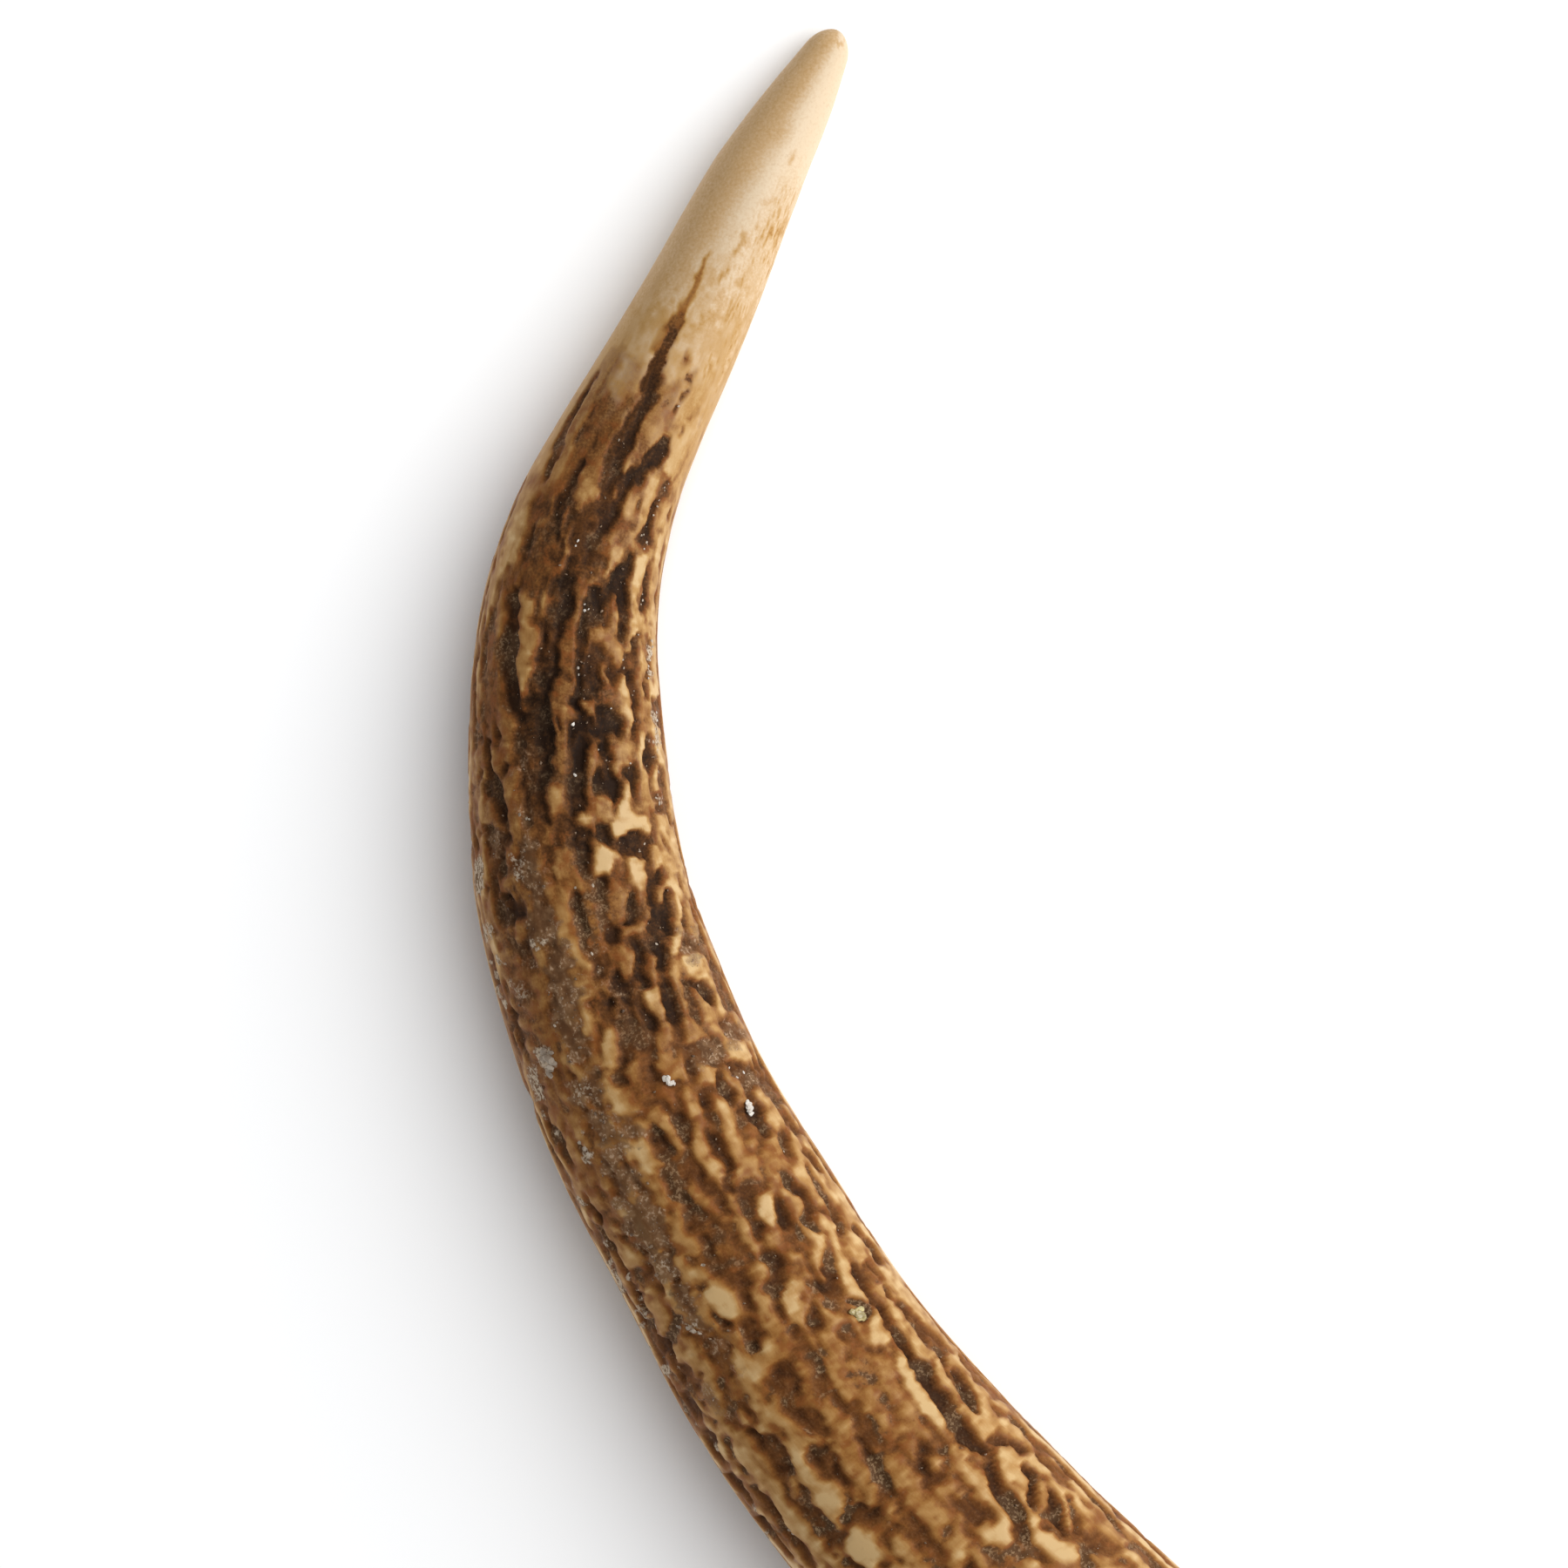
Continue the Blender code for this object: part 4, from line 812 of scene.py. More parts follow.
    (0.62, (193.4, 48, 52), (194.4, 45, 50), (195.4, 42, 49), (196.4, 38, 47), (197.6, 35, 41)),
    (0.09, (195.4, 50, 52), (196.4, 46, 52), (197.4, 41, 50), (198.4, 38, 46), (200.3, 36, 39)),
    (0.86, (191.6, 52, 58), (193, 52, 57), (194.6, 54, 59), (196, 52, 57), (197.4, 49, 54),
     (198.6, 45, 52), (199.8, 42, 50)),
    (0.8, (187.8, 60, 66), (189.2, 60, 67), (190.4, 59, 65), (191.8, 54, 60)),
    (0.24, (188.4, 46, 52), (189.4, 51, 56), (190.8, 50, 57)),
    (0.76, (186, 53, 60), (187.2, 52, 60), (188.4, 52, 57)), (0.24, (186.2, 44, 51), (188, 46, 51)),
    (0.37, (192, 59, 68), (197, 58, 68)), (0.3, (200.4, 42, 48), (202, 42, 47)),
    (0.56, (200.8, 49, 62), (202.6, 49, 60)), (0.28, (202.6, 40, 54), (205, 42, 54)),
    (0.74, (200.8, 63, 69), (202.4, 61, 66), (204.4, 57, 63)),
    (0.34, (197, 12, 22), (199.8, 16, 22)),
)
print("marks near the saw cut:", len(BASE_MARKS))

# %% [markdown]
# ## Drawing the marks
# Each mark is laid on the sheet between its two edges, which run smoothly from row to row. The
# edges are soft, softest round the pale pearls of the lower shaft, and they waver a little,
# because a ruled edge would look drawn. A pearl stands in a shallow groove of its own, so the
# skin is darkened all round the pale marks. Towards the thick end the upper skin is nearer
# the eye, so what is read there lies a little further in than it looks.

# %% Draw the marks on the sheet
MARK_SHIFT = (
    (0, 0), (30, 1.0), (60, 1.1), (80, 1.4), (100, 0.9), (120, 0.9), (165, 0.5), (190, 0),
    (215, -0.6),
)
MARK_TURN = ((-60, 0.0), (-30, 0.7), (0, 1.6), (35, 3.0), (60, 3.5))
MARK_REACH = 2.0                                # millimetres past the ends that can be touched
END_SOFTNESS = 0.3
EDGE_INSIDE = ((0, 0.3), (95, 0.35), (135, 0.55), (216, 0.6))           # how softly it fades
EDGE_OUTSIDE = ((0, 0.35), (95, 0.35), (135, 0.5), (216, 0.55))
PALE_EDGE = ((0, 0.3), (60, 0.5), (95, 0.8), (135, 1.0), (216, 1.15))    # domed, not flat
PALE_TONE = 0.5                                 # marks above it are pale
RIM_TONE = (    # how much darker it is there
    (0, 0.0), (50, 0.0), (70, 0.04), (120, 0.08), (216, 0.11),
)
RIM_EDGES = (-0.3, 0.5, 0.7, 1.7)               # from a pale mark's edge: starts, full, fades, ends
PALER_LEFT = 0.09                               # on the left of the lower shaft, but not in grooves
PALER_BAND = (8, 24, 58, 72)                    # degrees left: starts, full, fades, ends
GROOVE_TONE, SLOPE_TONE = 0.3, 0.6
WAVER_ALONG, WAVER_ACROSS, QUIVER = 0.34, 0.22, 0.06            # millimetres that edges waver
FINE_GRAIN, COARSE_GRAIN = 0.04, 0.06           # tones added all over, as skin is never even

waver_along = WAVER_ALONG * skin_noise(13, 3.6, 12)
waver_across = WAVER_ACROSS * skin_noise(11, 3.2, 14) + QUIVER * skin_noise(12, 1.2, 36)
pale_cover = np.zeros_like(tone)
rim_cover = np.zeros_like(tone)


def settle_marks(distance, angle):
    """Places as read, moved to where they lie on the skin."""
    return distance + read_curve(MARK_SHIFT, distance), angle + read_curve(MARK_TURN, angle)


def draw_mark(sheet, mark):
    """Paints one mark over the values of a sheet."""
    target, *rows_read = mark
    read, left, right = np.array(rows_read, float).T
    at, left = settle_marks(read, left)
    right = settle_marks(read, right)[1]
    first = max(int((at[0] - MARK_REACH) / ROW_STEP), 0)
    last = min(int((at[-1] + MARK_REACH) / ROW_STEP) + 1, ROWS)
    rows = slice(first, last)
    degree = np.maximum(radii_at(sheet_distance[rows])[0][:, None], 1) * math.radians(1)
    down = sheet_distance[rows, None] + waver_along[rows]
    angle = sheet_angle[None] + waver_across[rows] / degree
    level = np.clip(down, at[0], at[-1])
    left, right = np.interp(level, at, left), np.interp(level, at, right)
    beside = np.maximum(left - angle, angle - right) * degree
    beyond = np.abs(down - level)
    within = np.maximum(beside, -np.minimum(down - at[0], at[-1] - down) - END_SOFTNESS)
    away = np.where((beside > 0) | (beyond > 0), np.hypot(np.maximum(beside, 0), beyond), within)
    inside = read_curve(PALE_EDGE if target > PALE_TONE else EDGE_INSIDE, at[0])
    outside = read_curve(EDGE_OUTSIDE, at[0])
    cover = 1 - smooth_step(away, -inside, outside)
    sheet[rows] = sheet[rows] * (1 - cover) + target * cover
    if sheet is tone and target > PALE_TONE:
        rim_cover[rows] = np.maximum(rim_cover[rows], soft_band(away, RIM_EDGES))
        pale_cover[rows] = np.maximum(pale_cover[rows], cover)


for mark in UPPER_MARKS + MIDDLE_MARKS + LOWER_BEND_MARKS + LOWER_MARKS + BASE_MARKS:
    draw_mark(tone, mark)
tone -= read_curve(RIM_TONE, sheet_distance)[:, None] * rim_cover * (1 - pale_cover)
tone += grown * (FINE_GRAIN * skin_noise(21, 0.9, 45) + COARSE_GRAIN * skin_noise(22, 1.8, 28))
paler_left = PALER_LEFT * lower_shaft * soft_band(-sheet_angle, PALER_BAND)[None]
tone += paler_left * smooth_step(tone, GROOVE_TONE, SLOPE_TONE)
print("share of the skin that is groove:", round(float((tone < GROOVE_TONE).mean()), 2))

# %% [markdown]
# ## Wear, stain, earth and scale, with painted shade and sheen
# More things colour the skin than its relief. The tip is worn and polished to ivory, which
# runs out into the shaft in streaks, and small tan stains lie on it; its left side, away from
# the side lamp, is tinted tan as painted shade. Grey earth has dried on in patches along the
# upper side, and pale scale sits on the outer flank; two patches in the colours of scale on
# the right edge are a painted sheen. The dye of the grooves is nearly black in the upper shaft,
# and warmer and more orange further down, and the shaded left flank below the tip is dyed
# warmer as painted shade. Each is a sheet of its own with ragged edges, and goes onto the mesh
# as an attribute.

# %% Ivory, its stains, and painted shade on the tip's left side
IVORY_END = (30, 54)
MOTTLED_START, MOTTLED, EVEN_SHARE = (20, 40), 0.55, 0.3
SUNNY_SIDE, SUNNY_START = (8, 42, 95, 150), (13, 26)            # degrees right, millimetres
SUNNY_STAIN, SPECKLE_STAIN, SPECKLE_EDGES = 0.2, 0.42, (0.5, 1.9)
TAN_SHADE_EDGE = ((0, 20), (8, 12), (20, 4), (36, -22), (50, -40))     # the painted shade, a tan tint on the tip's left side, ends here
TAN_SHADE_STRENGTH = ((0, 0.36), (34, 0.36), (46, 0.52))
TAN_SHADE_INSIDE, TAN_SHADE_OUTSIDE, TAN_SHADE_WANDER = 26, 16, 4                 # degrees
TIP_STAINS = (    # (strength, rows), read as the marks are
    (0.85, (29.6, -11, -6), (31.8, -14.5, -6), (34, -14, -4), (37, -14, -3), (40, -16, -3)),
    (0.8, (37.5, -18, -6), (40, -21, -9), (43, -19, -7)), (0.35, (0.8, -60, 40), (1.4, -60, 40)),
    (0.42, (15.4, 30, 37), (16.3, 25, 31)), (0.5, (18.8, 59, 65), (19.6, 49, 55)),
    (0.3, (20.5, 24, 32), (22, 18, 26)), (0.8, (23.2, 55, 61), (23.9, 51, 57)),
    (0.5, (24.5, 57, 67), (25.5, 50, 60)), (0.6, (24, 24, 27), (24.4, 24, 27)),
    (0.5, (26, 15, 25), (28.5, 9, 19)), (0.6, (26.6, 20, 24), (27.5, 19, 23)),
    (0.65, (26.4, -10, -7), (27, -11, -8)), (0.6, (30.2, 12, 20), (31.6, 4, 12)),
    (0.4, (37, 20, 60), (40, 20, 58)), (0.35, (33, 11, 33), (34, 9, 31)),
    (0.6, (38.6, -60, -54), (39.2, -60, -54)), (0.45, (39, -41, -29), (40.6, -39, -27)),
    (0.5, (43.5, -51, -37), (45, -52, -38)), (0.7, (40.3, 9, 19), (41.4, 9, 19)),
)

ivory = 1 - smooth_step(sheet_distance[:, None] + STREAK_REACH * streaks, *IVORY_END)
mottle = 0.5 + 0.5 * np.tanh(skin_noise(33, 1.4, 26) + 0.5 * skin_noise(34, 4, 10))
uneven = EVEN_SHARE + (1 - EVEN_SHARE) * mottle
stain_and_shade = smooth_step(sheet_distance, *MOTTLED_START)[:, None] * MOTTLED * uneven
speckles = skin_noise(36, 0.7, 60) + 0.7 * skin_noise(37, 3, 14)
speckles = smooth_step(speckles, *SPECKLE_EDGES)
sunny_side = soft_band(sheet_angle, SUNNY_SIDE)[None]
sunny_side = sunny_side * smooth_step(sheet_distance, *SUNNY_START)[:, None]
stain_and_shade = np.maximum(stain_and_shade, sunny_side * (SUNNY_STAIN + SPECKLE_STAIN * speckles))
# Painted shade: the tip's left side, away from the side lamp, is tinted tan in the stain sheet.
tan_shade_edge = read_curve(TAN_SHADE_EDGE, sheet_distance)[:, None] + TAN_SHADE_WANDER * skin_noise(35, 9, 3)
tan_shade = 1 - smooth_step(sheet_angle[None], tan_shade_edge - TAN_SHADE_INSIDE, tan_shade_edge + TAN_SHADE_OUTSIDE)
stain_and_shade = np.maximum(stain_and_shade, read_curve(TAN_SHADE_STRENGTH, sheet_distance)[:, None] * tan_shade)
for mark in TIP_STAINS:
    spots = np.zeros_like(stain_and_shade)
    draw_mark(spots, mark)
    stain_and_shade = np.maximum(stain_and_shade, spots)
on_ivory = sheet_distance < IVORY_END[0]
print("stained share of the tip:", round(float((stain_and_shade[on_ivory] > 0.3).mean()), 3))

# %% Earth and scale, with a painted sheen
EARTH_PATCHES = (    # (distance from, to, angle from, to, how thick)
    (99, 111, -30, -19, 1.0), (111, 118, -31, -15, 1.0), (116, 124, -33, -20, 1.0),
    (125.5, 129, -38, -21, 1.0), (129, 134, -34, -22, 0.8), (131, 133.5, -22, -10, 0.8),
    (134, 139.5, -36, -24, 0.9), (139.6, 145, -42, -23, 1.1), (145, 150, -42, -28, 1.1),
    (150, 157, -38, -28, 0.9), (110, 112, -56, -30, 0.5), (114.3, 118, 46, 64, 0.6),
    (125.6, 128.8, 50, 72, 0.7), (127, 130, 24, 45, 0.6), (132.5, 135, 48, 61, 0.6),
    (113.5, 116.5, -54, -46, 0.5), (98, 101.5, -58, -42, 0.5), (117, 119.5, 0, 8, 0.5),
    (162, 166, -52, -44, 0.6), (88, 98, -29, -22, 0.4), (112, 117, -6, 2, 0.5),
    (158, 162, -34, -26, 0.5),
)
SCALE_AND_SHEEN_PATCHES = (
    (121, 124.4, -53, -42, 0.8), (100.3, 104.5, -78, -60, 0.8), (107, 109, -76, -60, 0.7),
    (112, 113, -80, -70, 0.7), (123, 126.5, -72, -60, 0.6), (146, 149, -80, -72, 0.7),
    (150.5, 152.4, -72, -64, 0.6), (110.5, 111.5, -58, -51, 0.6), (110.5, 111.5, -44, -37, 0.6),
    (110.5, 112, -32, -27, 0.7), (114, 115.5, -54, -43, 0.6), (101, 103.6, -36, -29, 0.6),
    (125.6, 128.6, -36, -24, 0.45), (131.7, 134, -46, -41, 0.8), (143, 146, -44, -38, 0.5),
    (147, 150, -36, -29, 0.5), (155.3, 157, -40, -33, 0.7), (154.7, 155.4, -47, -43, 0.6),
    # Painted sheen: the first two patches of this row, on the right edge, stand in for a pale
    # sheen.
    (74.5, 81.5, 60, 66, 0.7), (84, 91, 60, 70, 0.6), (95.6, 97.5, 56, 62, 0.5),
)
FLANK = (52, 64, 105, 135)                      # degrees left: scale begins, is full, fades, ends
FLANK_SCALE, FLANK_SPOTS = 0.7, (0.9, 1.7)
SCALE_START = (92, 104)
PATCH_EDGE = 1.1
WARM_START = (85, 150)
WARM_LEFT_SHADE, WARM_LEFT_SHADE_START = (12, 42), (46, 60)                 # painted shade: the left, away from the lamp, is warmer from higher up
WARM_LEFT_SHADE_SHARE, WARM_CLOUDS = 0.6, 0.22

degree_sheet = radii_at(sheet_distance)[0][:, None] * math.radians(1)
ragged = 0.5 * skin_noise(41, 2.2, 18) + 0.3 * skin_noise(42, 0.9, 50)


def draw_patches(patches):
    """A sheet with soft, ragged patches, each as thick as it says."""
    sheet = np.zeros((ROWS, COLUMNS))
    for s0, s1, a0, a1, thick in patches:
        (s0, s1), (a0, a1) = settle_marks(np.array((s0, s1)), np.array((a0, a1)))
        beyond_ends = np.abs(sheet_distance[:, None] - (s0 + s1) / 2) - (s1 - s0) / 2
        beyond_sides = (np.abs(sheet_angle[None] - (a0 + a1) / 2) - (a1 - a0) / 2) * degree_sheet
        beyond = np.maximum(beyond_ends, beyond_sides) + ragged
        sheet = np.maximum(sheet, thick * (1 - smooth_step(beyond, -PATCH_EDGE, PATCH_EDGE)))
    return sheet


earth = draw_patches(EARTH_PATCHES)
flank = soft_band(-sheet_angle, FLANK)[None] * smooth_step(sheet_distance, *SCALE_START)[:, None]
flank_scale = FLANK_SCALE * flank * smooth_step(skin_noise(61, 2.2, 18), *FLANK_SPOTS)
# The scale sheet also carries the painted sheen on the right edge.
scale = np.maximum(draw_patches(SCALE_AND_SHEEN_PATCHES), flank_scale)
# Painted shade: the left flank, away from the side lamp, gets the warmer dye below the tip.
below_tip = smooth_step(sheet_distance, *WARM_LEFT_SHADE_START)[:, None]
warm_left_shade = WARM_LEFT_SHADE_SHARE * (smooth_step(-sheet_angle, *WARM_LEFT_SHADE)[None] * below_tip)
warmth = np.maximum(smooth_step(sheet_distance, *WARM_START)[:, None], warm_left_shade)
warmth = warmth + WARM_CLOUDS * skin_noise(51, 14, 5)
for kind, sheet in (("earth", earth), ("scale", scale)):
    print("share of the skin with", kind, round(float((sheet > 0.3).mean()), 3))

# %% [markdown]
# ## Setting the skin
# Now every fine point is moved onto the exact form, less the depth of its groove. The worn
# tops stay at the full size, and the grooves are cut into it, as on the real tine. Points
# are drawn together on the upper side, where the tine is looked at. On the saw cut the
# points stay in its plane and only follow the outline of the skin.

# %% Carve the grooves
GROOVE_DEPTH = ((0, 0.0), (28, 0.0), (42, 0.35), (60, 0.8), (90, 1.0), (216, 1.1))
TOP_TONE = 0.74
GROOVE_POWER = 1.6                              # above 1, only the darkest grooves are deep
UPPER_CROWDING = 0.22                           # draws points together on the upper side
EARTH_FILLS, SCALE_FILLS, MOST_FILLED = 0.55, 0.8, 0.8


def depth_share(tone):
    """1 at the bottom of a groove and 0 on a worn top."""
    return np.clip(1 - tone / TOP_TONE, 0, 1) ** GROOVE_POWER


def groove_depth(distance, degrees):
    """How deep the skin lies under the full size, in millimetres. Earth and scale fill grooves."""
    filled = EARTH_FILLS * read_sheet(earth, distance, degrees)
    filled = filled + SCALE_FILLS * read_sheet(scale, distance, degrees)
    share = depth_share(read_sheet(tone, distance, degrees)) * (1 - np.clip(filled, 0, MOST_FILLED))
    return read_curve(GROOVE_DEPTH, distance) * share


distance = read_attribute(skin.data, "distance", 1).astype(float)
in_ring = read_attribute(skin.data, "in_ring", 3)
share = np.clip(np.hypot(in_ring[:, 0], in_ring[:, 1]) / np.cos(math.pi / SIDES), 0, 1)
on_cut = distance > LENGTH - 0.01
on_tip = distance < TIP_RINGS[-1] + 0.001
share[~on_cut & ~on_tip] = 1
angle = np.arctan2(in_ring[:, 0], in_ring[:, 1])
angle -= UPPER_CROWDING * np.sin(angle)
tip_share = share[on_tip] * rounding_at(TIP_RINGS[-1])
distance[on_tip] = TIP_ROUNDING * (1 - np.sqrt(1 - tip_share ** 2))
share[on_tip] = 1
degrees = np.degrees(angle)
cut_depth = groove_depth(distance, degrees)
width = np.maximum(radii_at(distance)[0], 0.01)
share = share * (1 - cut_depth / width)
points = on_rod(distance, angle, share)
skin.data.vertices.foreach_set("co", (points * MM).ravel())
skin.data.update()
print("deepest groove in mm:", round(float(cut_depth.max()), 2))
print("lowest point in mm:", round(float(points[:, 2].min()), 2))

# %% Store what the materials read
SHEETS = {"tone": tone, "ivory": ivory, "stain_and_shade": stain_and_shade, "earth": earth, "scale": scale,
          "warmth": warmth}
for name, sheet in SHEETS.items():
    keep_attribute(skin.data, name, read_sheet(sheet, distance, degrees))
straight = np.stack([width * share * np.sin(angle), width * share * np.cos(angle), distance], 1)
keep_attribute(skin.data, "straight", straight)
keep_attribute(skin.data, "from_centre", np.where(on_cut, share, 1.0))
print("attributes:", [a.name for a in skin.data.attributes if not a.name.startswith(".")])

# %% [markdown]
# ## Helpers for materials
# A material is a tree of nodes. These helpers add one node each, fill its inputs with a value
# or a link, and hand on its output, so a finish can be read from top to bottom like a recipe.

# %% Node helpers
def colour(red, green, blue):
    """A colour given as 0 to 255 screen values, as the shader wants it."""
    screen = np.array([red, green, blue]) / 255
    linear = np.where(screen <= 0.04045, screen / 12.92, ((screen + 0.055) / 1.055) ** 2.4)
    return (*[float(part) for part in linear], 1.0)


def new_material(name):
    """An empty material with its Principled shader, and the shader's node."""
    material = bpy.data.materials.new(name)
    material.use_nodes = True
    material.node_tree.nodes.clear()
    shader = material.node_tree.nodes.new("ShaderNodeBsdfPrincipled")
    output = material.node_tree.nodes.new("ShaderNodeOutputMaterial")
    material.node_tree.links.new(shader.outputs[0], output.inputs[0])
    return material, shader


def add(tree, kind, inputs, **fields):
    """Adds a node with these fields, and gives each input its value or its link."""
    node = tree.nodes.new("ShaderNode" + kind)
    for field, value in fields.items():
        setattr(node, field, value)
    for name, value in inputs.items():
        if isinstance(value, bpy.types.NodeSocket):
            tree.links.new(value, node.inputs[name])
        else:
            node.inputs[name].default_value = value
    return node


def attribute(tree, name, output="Fac"):
    """What the mesh keeps under this name."""
    return add(tree, "Attribute", {}, attribute_name=name).outputs[output]


def calculate(tree, operation, *values):
    """The result of one step of arithmetic."""
    return add(tree, "Math", dict(enumerate(values)), operation=operation).outputs[0]


def between(tree, value, low, high, to_low=0.0, to_high=1.0):
    """The value's range low to high, on an S curve, as the range to_low to to_high."""
    inputs = {"Value": value, "From Min": low, "From Max": high}
    inputs.update({"To Min": to_low, "To Max": to_high})
    return add(tree, "MapRange", inputs, interpolation_type="SMOOTHSTEP").outputs[0]


def noise(tree, place, scale, detail=2.0, roughness=0.5):
    """Soft noise from 0 to 1, with about as many waves to a unit as the scale says."""
    inputs = {"Vector": place, "Scale": scale, "Detail": detail, "Roughness": roughness}
    return add(tree, "TexNoise", inputs).outputs["Fac"]


def mix(tree, factor, first, second, way="MIX"):
    """Colour first where the factor is 0 and second where it is 1."""
    node = add(tree, "Mix", {0: factor, 6: first, 7: second}, data_type="RGBA", blend_type=way)
    return node.outputs[2]


def ramp(tree, value, stops):
    """A colour ramp through (position, (red, green, blue)) stops."""
    node = add(tree, "ValToRGB", {"Fac": value})
    elements = node.color_ramp.elements
    while len(elements) < len(stops):
        elements.new(1)
    for element, (position, screen) in zip(elements, stops):
        element.position = position
        element.color = colour(*screen)
    return node.outputs["Color"]


print("node helpers ready")

# %% [markdown]
# ## The skin's finish
# The tone decides most of the colour: nearly black in the grooves, orange brown on the
# slopes, and cream on the worn tops. Over this dye lie the ivory of the tip with painted
# shade on its left side, dust in the hollows, dried earth, and pale scale with a painted sheen
# on the right edge. Each of these is a layer: a function that takes the surface so far and
# lays its own colour over a part of it.

# %% Skin colours
DYE_UPPER = (
    (0.0, (38, 21, 8)), (0.14, (60, 36, 16)), (0.3, (89, 54, 24)), (0.46, (122, 77, 36)),
    (0.62, (156, 110, 60)), (0.78, (190, 146, 88)), (0.94, (216, 182, 132)),
)
DYE_LOWER = (
    (0.0, (60, 32, 10)), (0.14, (88, 49, 18)), (0.3, (112, 66, 26)), (0.46, (140, 88, 38)),
    (0.62, (166, 116, 60)), (0.78, (192, 146, 88)), (0.94, (218, 182, 128)),
)
TIP_COLOURS = (     # by the strength of the stain and of the painted shade on the tip's left side
    (0.0, (232, 209, 177)), (0.3, (214, 179, 134)), (0.55, (196, 152, 90)), (0.8, (162, 106, 48)),
    (1.0, (112, 66, 28)),
)
RUST = (136, 74, 30)
EARTH_DARK, EARTH_PALE, EARTH_GRAINS = (102, 69, 43), (140, 106, 74), (198, 168, 138)
# Scale colours, also used for the painted sheen on the right edge.
DARK_SCALE_AND_SHEEN, PALE_SCALE_AND_SHEEN = (128, 102, 78), (202, 182, 158)
DUST_DARK, DUST_PALE = (92, 66, 42), (156, 128, 96)
print("steps of the dye:", len(DYE_UPPER), "and of the ivory:", len(TIP_COLOURS))

# %% [markdown]
# ### Patterns finer than the mesh
# The layers share some patterns that are too fine for the mesh: fibres along the rod, specks,
# broader patches, and grains such as earth has. They are made once, on the skin's own
# coordinates in millimetres, so that a speck in the colour is a speck in the relief too.

# %% Fine patterns
FIBRES, SPECKS, PATCHES, GRAINS = 2.0, 3.0, 0.75, 3.0           # how many to a millimetre
FIBRE_SHAPE = (1.0, 1.0, 0.25)                  # four times as long as wide, along the rod
GRANULE_SPECKS = (0.35, 0.6)                    # grains begin to show, and show in full


def times(tree, first, second):
    """The product of two values."""
    return calculate(tree, "MULTIPLY", first, second)


def push(tree, value, pattern, strength):
    """The value, raised by a pattern times its strength."""
    return calculate(tree, "MULTIPLY_ADD", pattern, strength, value)


def fine_patterns(tree):
    """The fine patterns by name. Those called off run from about -0.5 to 0.5."""
    straight = attribute(tree, "straight", "Vector")
    fibre_place = add(tree, "Mapping", {"Vector": straight, "Scale": FIBRE_SHAPE}).outputs[0]
    cells = add(tree, "TexVoronoi", {"Vector": straight, "Scale": GRAINS}).outputs["Color"]
    fine = {
        "straight": straight,
        "fibres": noise(tree, fibre_place, FIBRES, 2),
        "specks": noise(tree, straight, SPECKS, 3, 0.6),
        "patches": noise(tree, straight, PATCHES, 2),
        "grains": add(tree, "SeparateColor", {"Color": cells}).outputs[0],
    }
    for name in ("fibres", "specks", "patches"):
        fine["off " + name] = calculate(tree, "SUBTRACT", fine[name], 0.5)
    shown = between(tree, fine["specks"], *GRANULE_SPECKS)
    fine["granules"] = times(tree, fine["grains"], shown)
    return fine


# %% [markdown]
# ### The dye
# Specks and fibres push the tone up and down before it becomes a colour, so that the edges
# of the dye are ragged. Worn tops are smooth as wax and are pushed less. One ramp holds the
# colours of the upper shaft and one those of the lower, and the warmth blends the two; on the
# left flank below the tip the warmth is painted shade, a warmer dye where the shade falls. Rust
# red lies in patches on the slopes, between the grooves and the tops.

# %% The dye
RAGGED_UPPER, RAGGED_LOWER = 0.5, 0.28          # how far specks push the tone
WAXY_TONES, WAXY_SHARE = (0.5, 0.75), 0.35      # how much of that is left on worn tops
FIBRE_PUSH = 0.12
OVER_GROOVES, UNDER_TOPS = (0.25, 0.45), (0.8, 0.6)             # tones of the slopes
RUST_PATCHES, RUST_STRENGTH = (0.45, 0.65), 0.6


def dye_layer(tree, fine):
    """The dyed skin, the ragged tone that it was read from, and the raggedness."""
    warmth, tone = attribute(tree, "warmth"), attribute(tree, "tone")
    raggedness = between(tree, warmth, 0.0, 1.0, RAGGED_UPPER, RAGGED_LOWER)
    raggedness = times(tree, raggedness, between(tree, tone, *WAXY_TONES, 1.0, WAXY_SHARE))
    tone = push(tree, tone, fine["off specks"], raggedness)
    tone = push(tree, tone, fine["off fibres"], FIBRE_PUSH)
    dye = mix(tree, warmth, ramp(tree, tone, DYE_UPPER), ramp(tree, tone, DYE_LOWER))
    slopes = times(tree, between(tree, tone, *OVER_GROOVES), between(tree, tone, *UNDER_TOPS))
    rusty = between(tree, fine["patches"], *RUST_PATCHES, 0.0, RUST_STRENGTH)
    return mix(tree, times(tree, slopes, rusty), dye, colour(*RUST)), tone, raggedness


# %% [markdown]
# ### The ivory
# On the tip the bare bone shows as ivory, save in the few grooves that reach it. The strength
# of its stains, and of the painted shade tinting its left side tan, picks the colour, from
# cream to brown, and specks make their edges ragged.

# %% The ivory
STAIN_SPECKS = 0.5
IVORY_TONES = (0.3, 0.6)                        # ivory starts to show, and is full


def ivory_layer(tree, fine, tone, surface):
    """The ivory, its stains and the painted shade on its left side, over the worn tip."""
    stain_and_shade_level = push(tree, attribute(tree, "stain_and_shade"), fine["off specks"], STAIN_SPECKS)
    worn = times(tree, attribute(tree, "ivory"), between(tree, tone, *IVORY_TONES))
    return mix(tree, worn, surface, ramp(tree, stain_and_shade_level, TIP_COLOURS))


# %% [markdown]
# ### Dust, earth, scale and a painted sheen
# Three kinds of dirt lie on the skin. Dust has drifted into its hollows, more of it down the
# shaft. Earth has dried on in ragged patches with bright grains in them. Scale is paler, and
# granular all through; two patches of it on the right edge are a painted sheen.

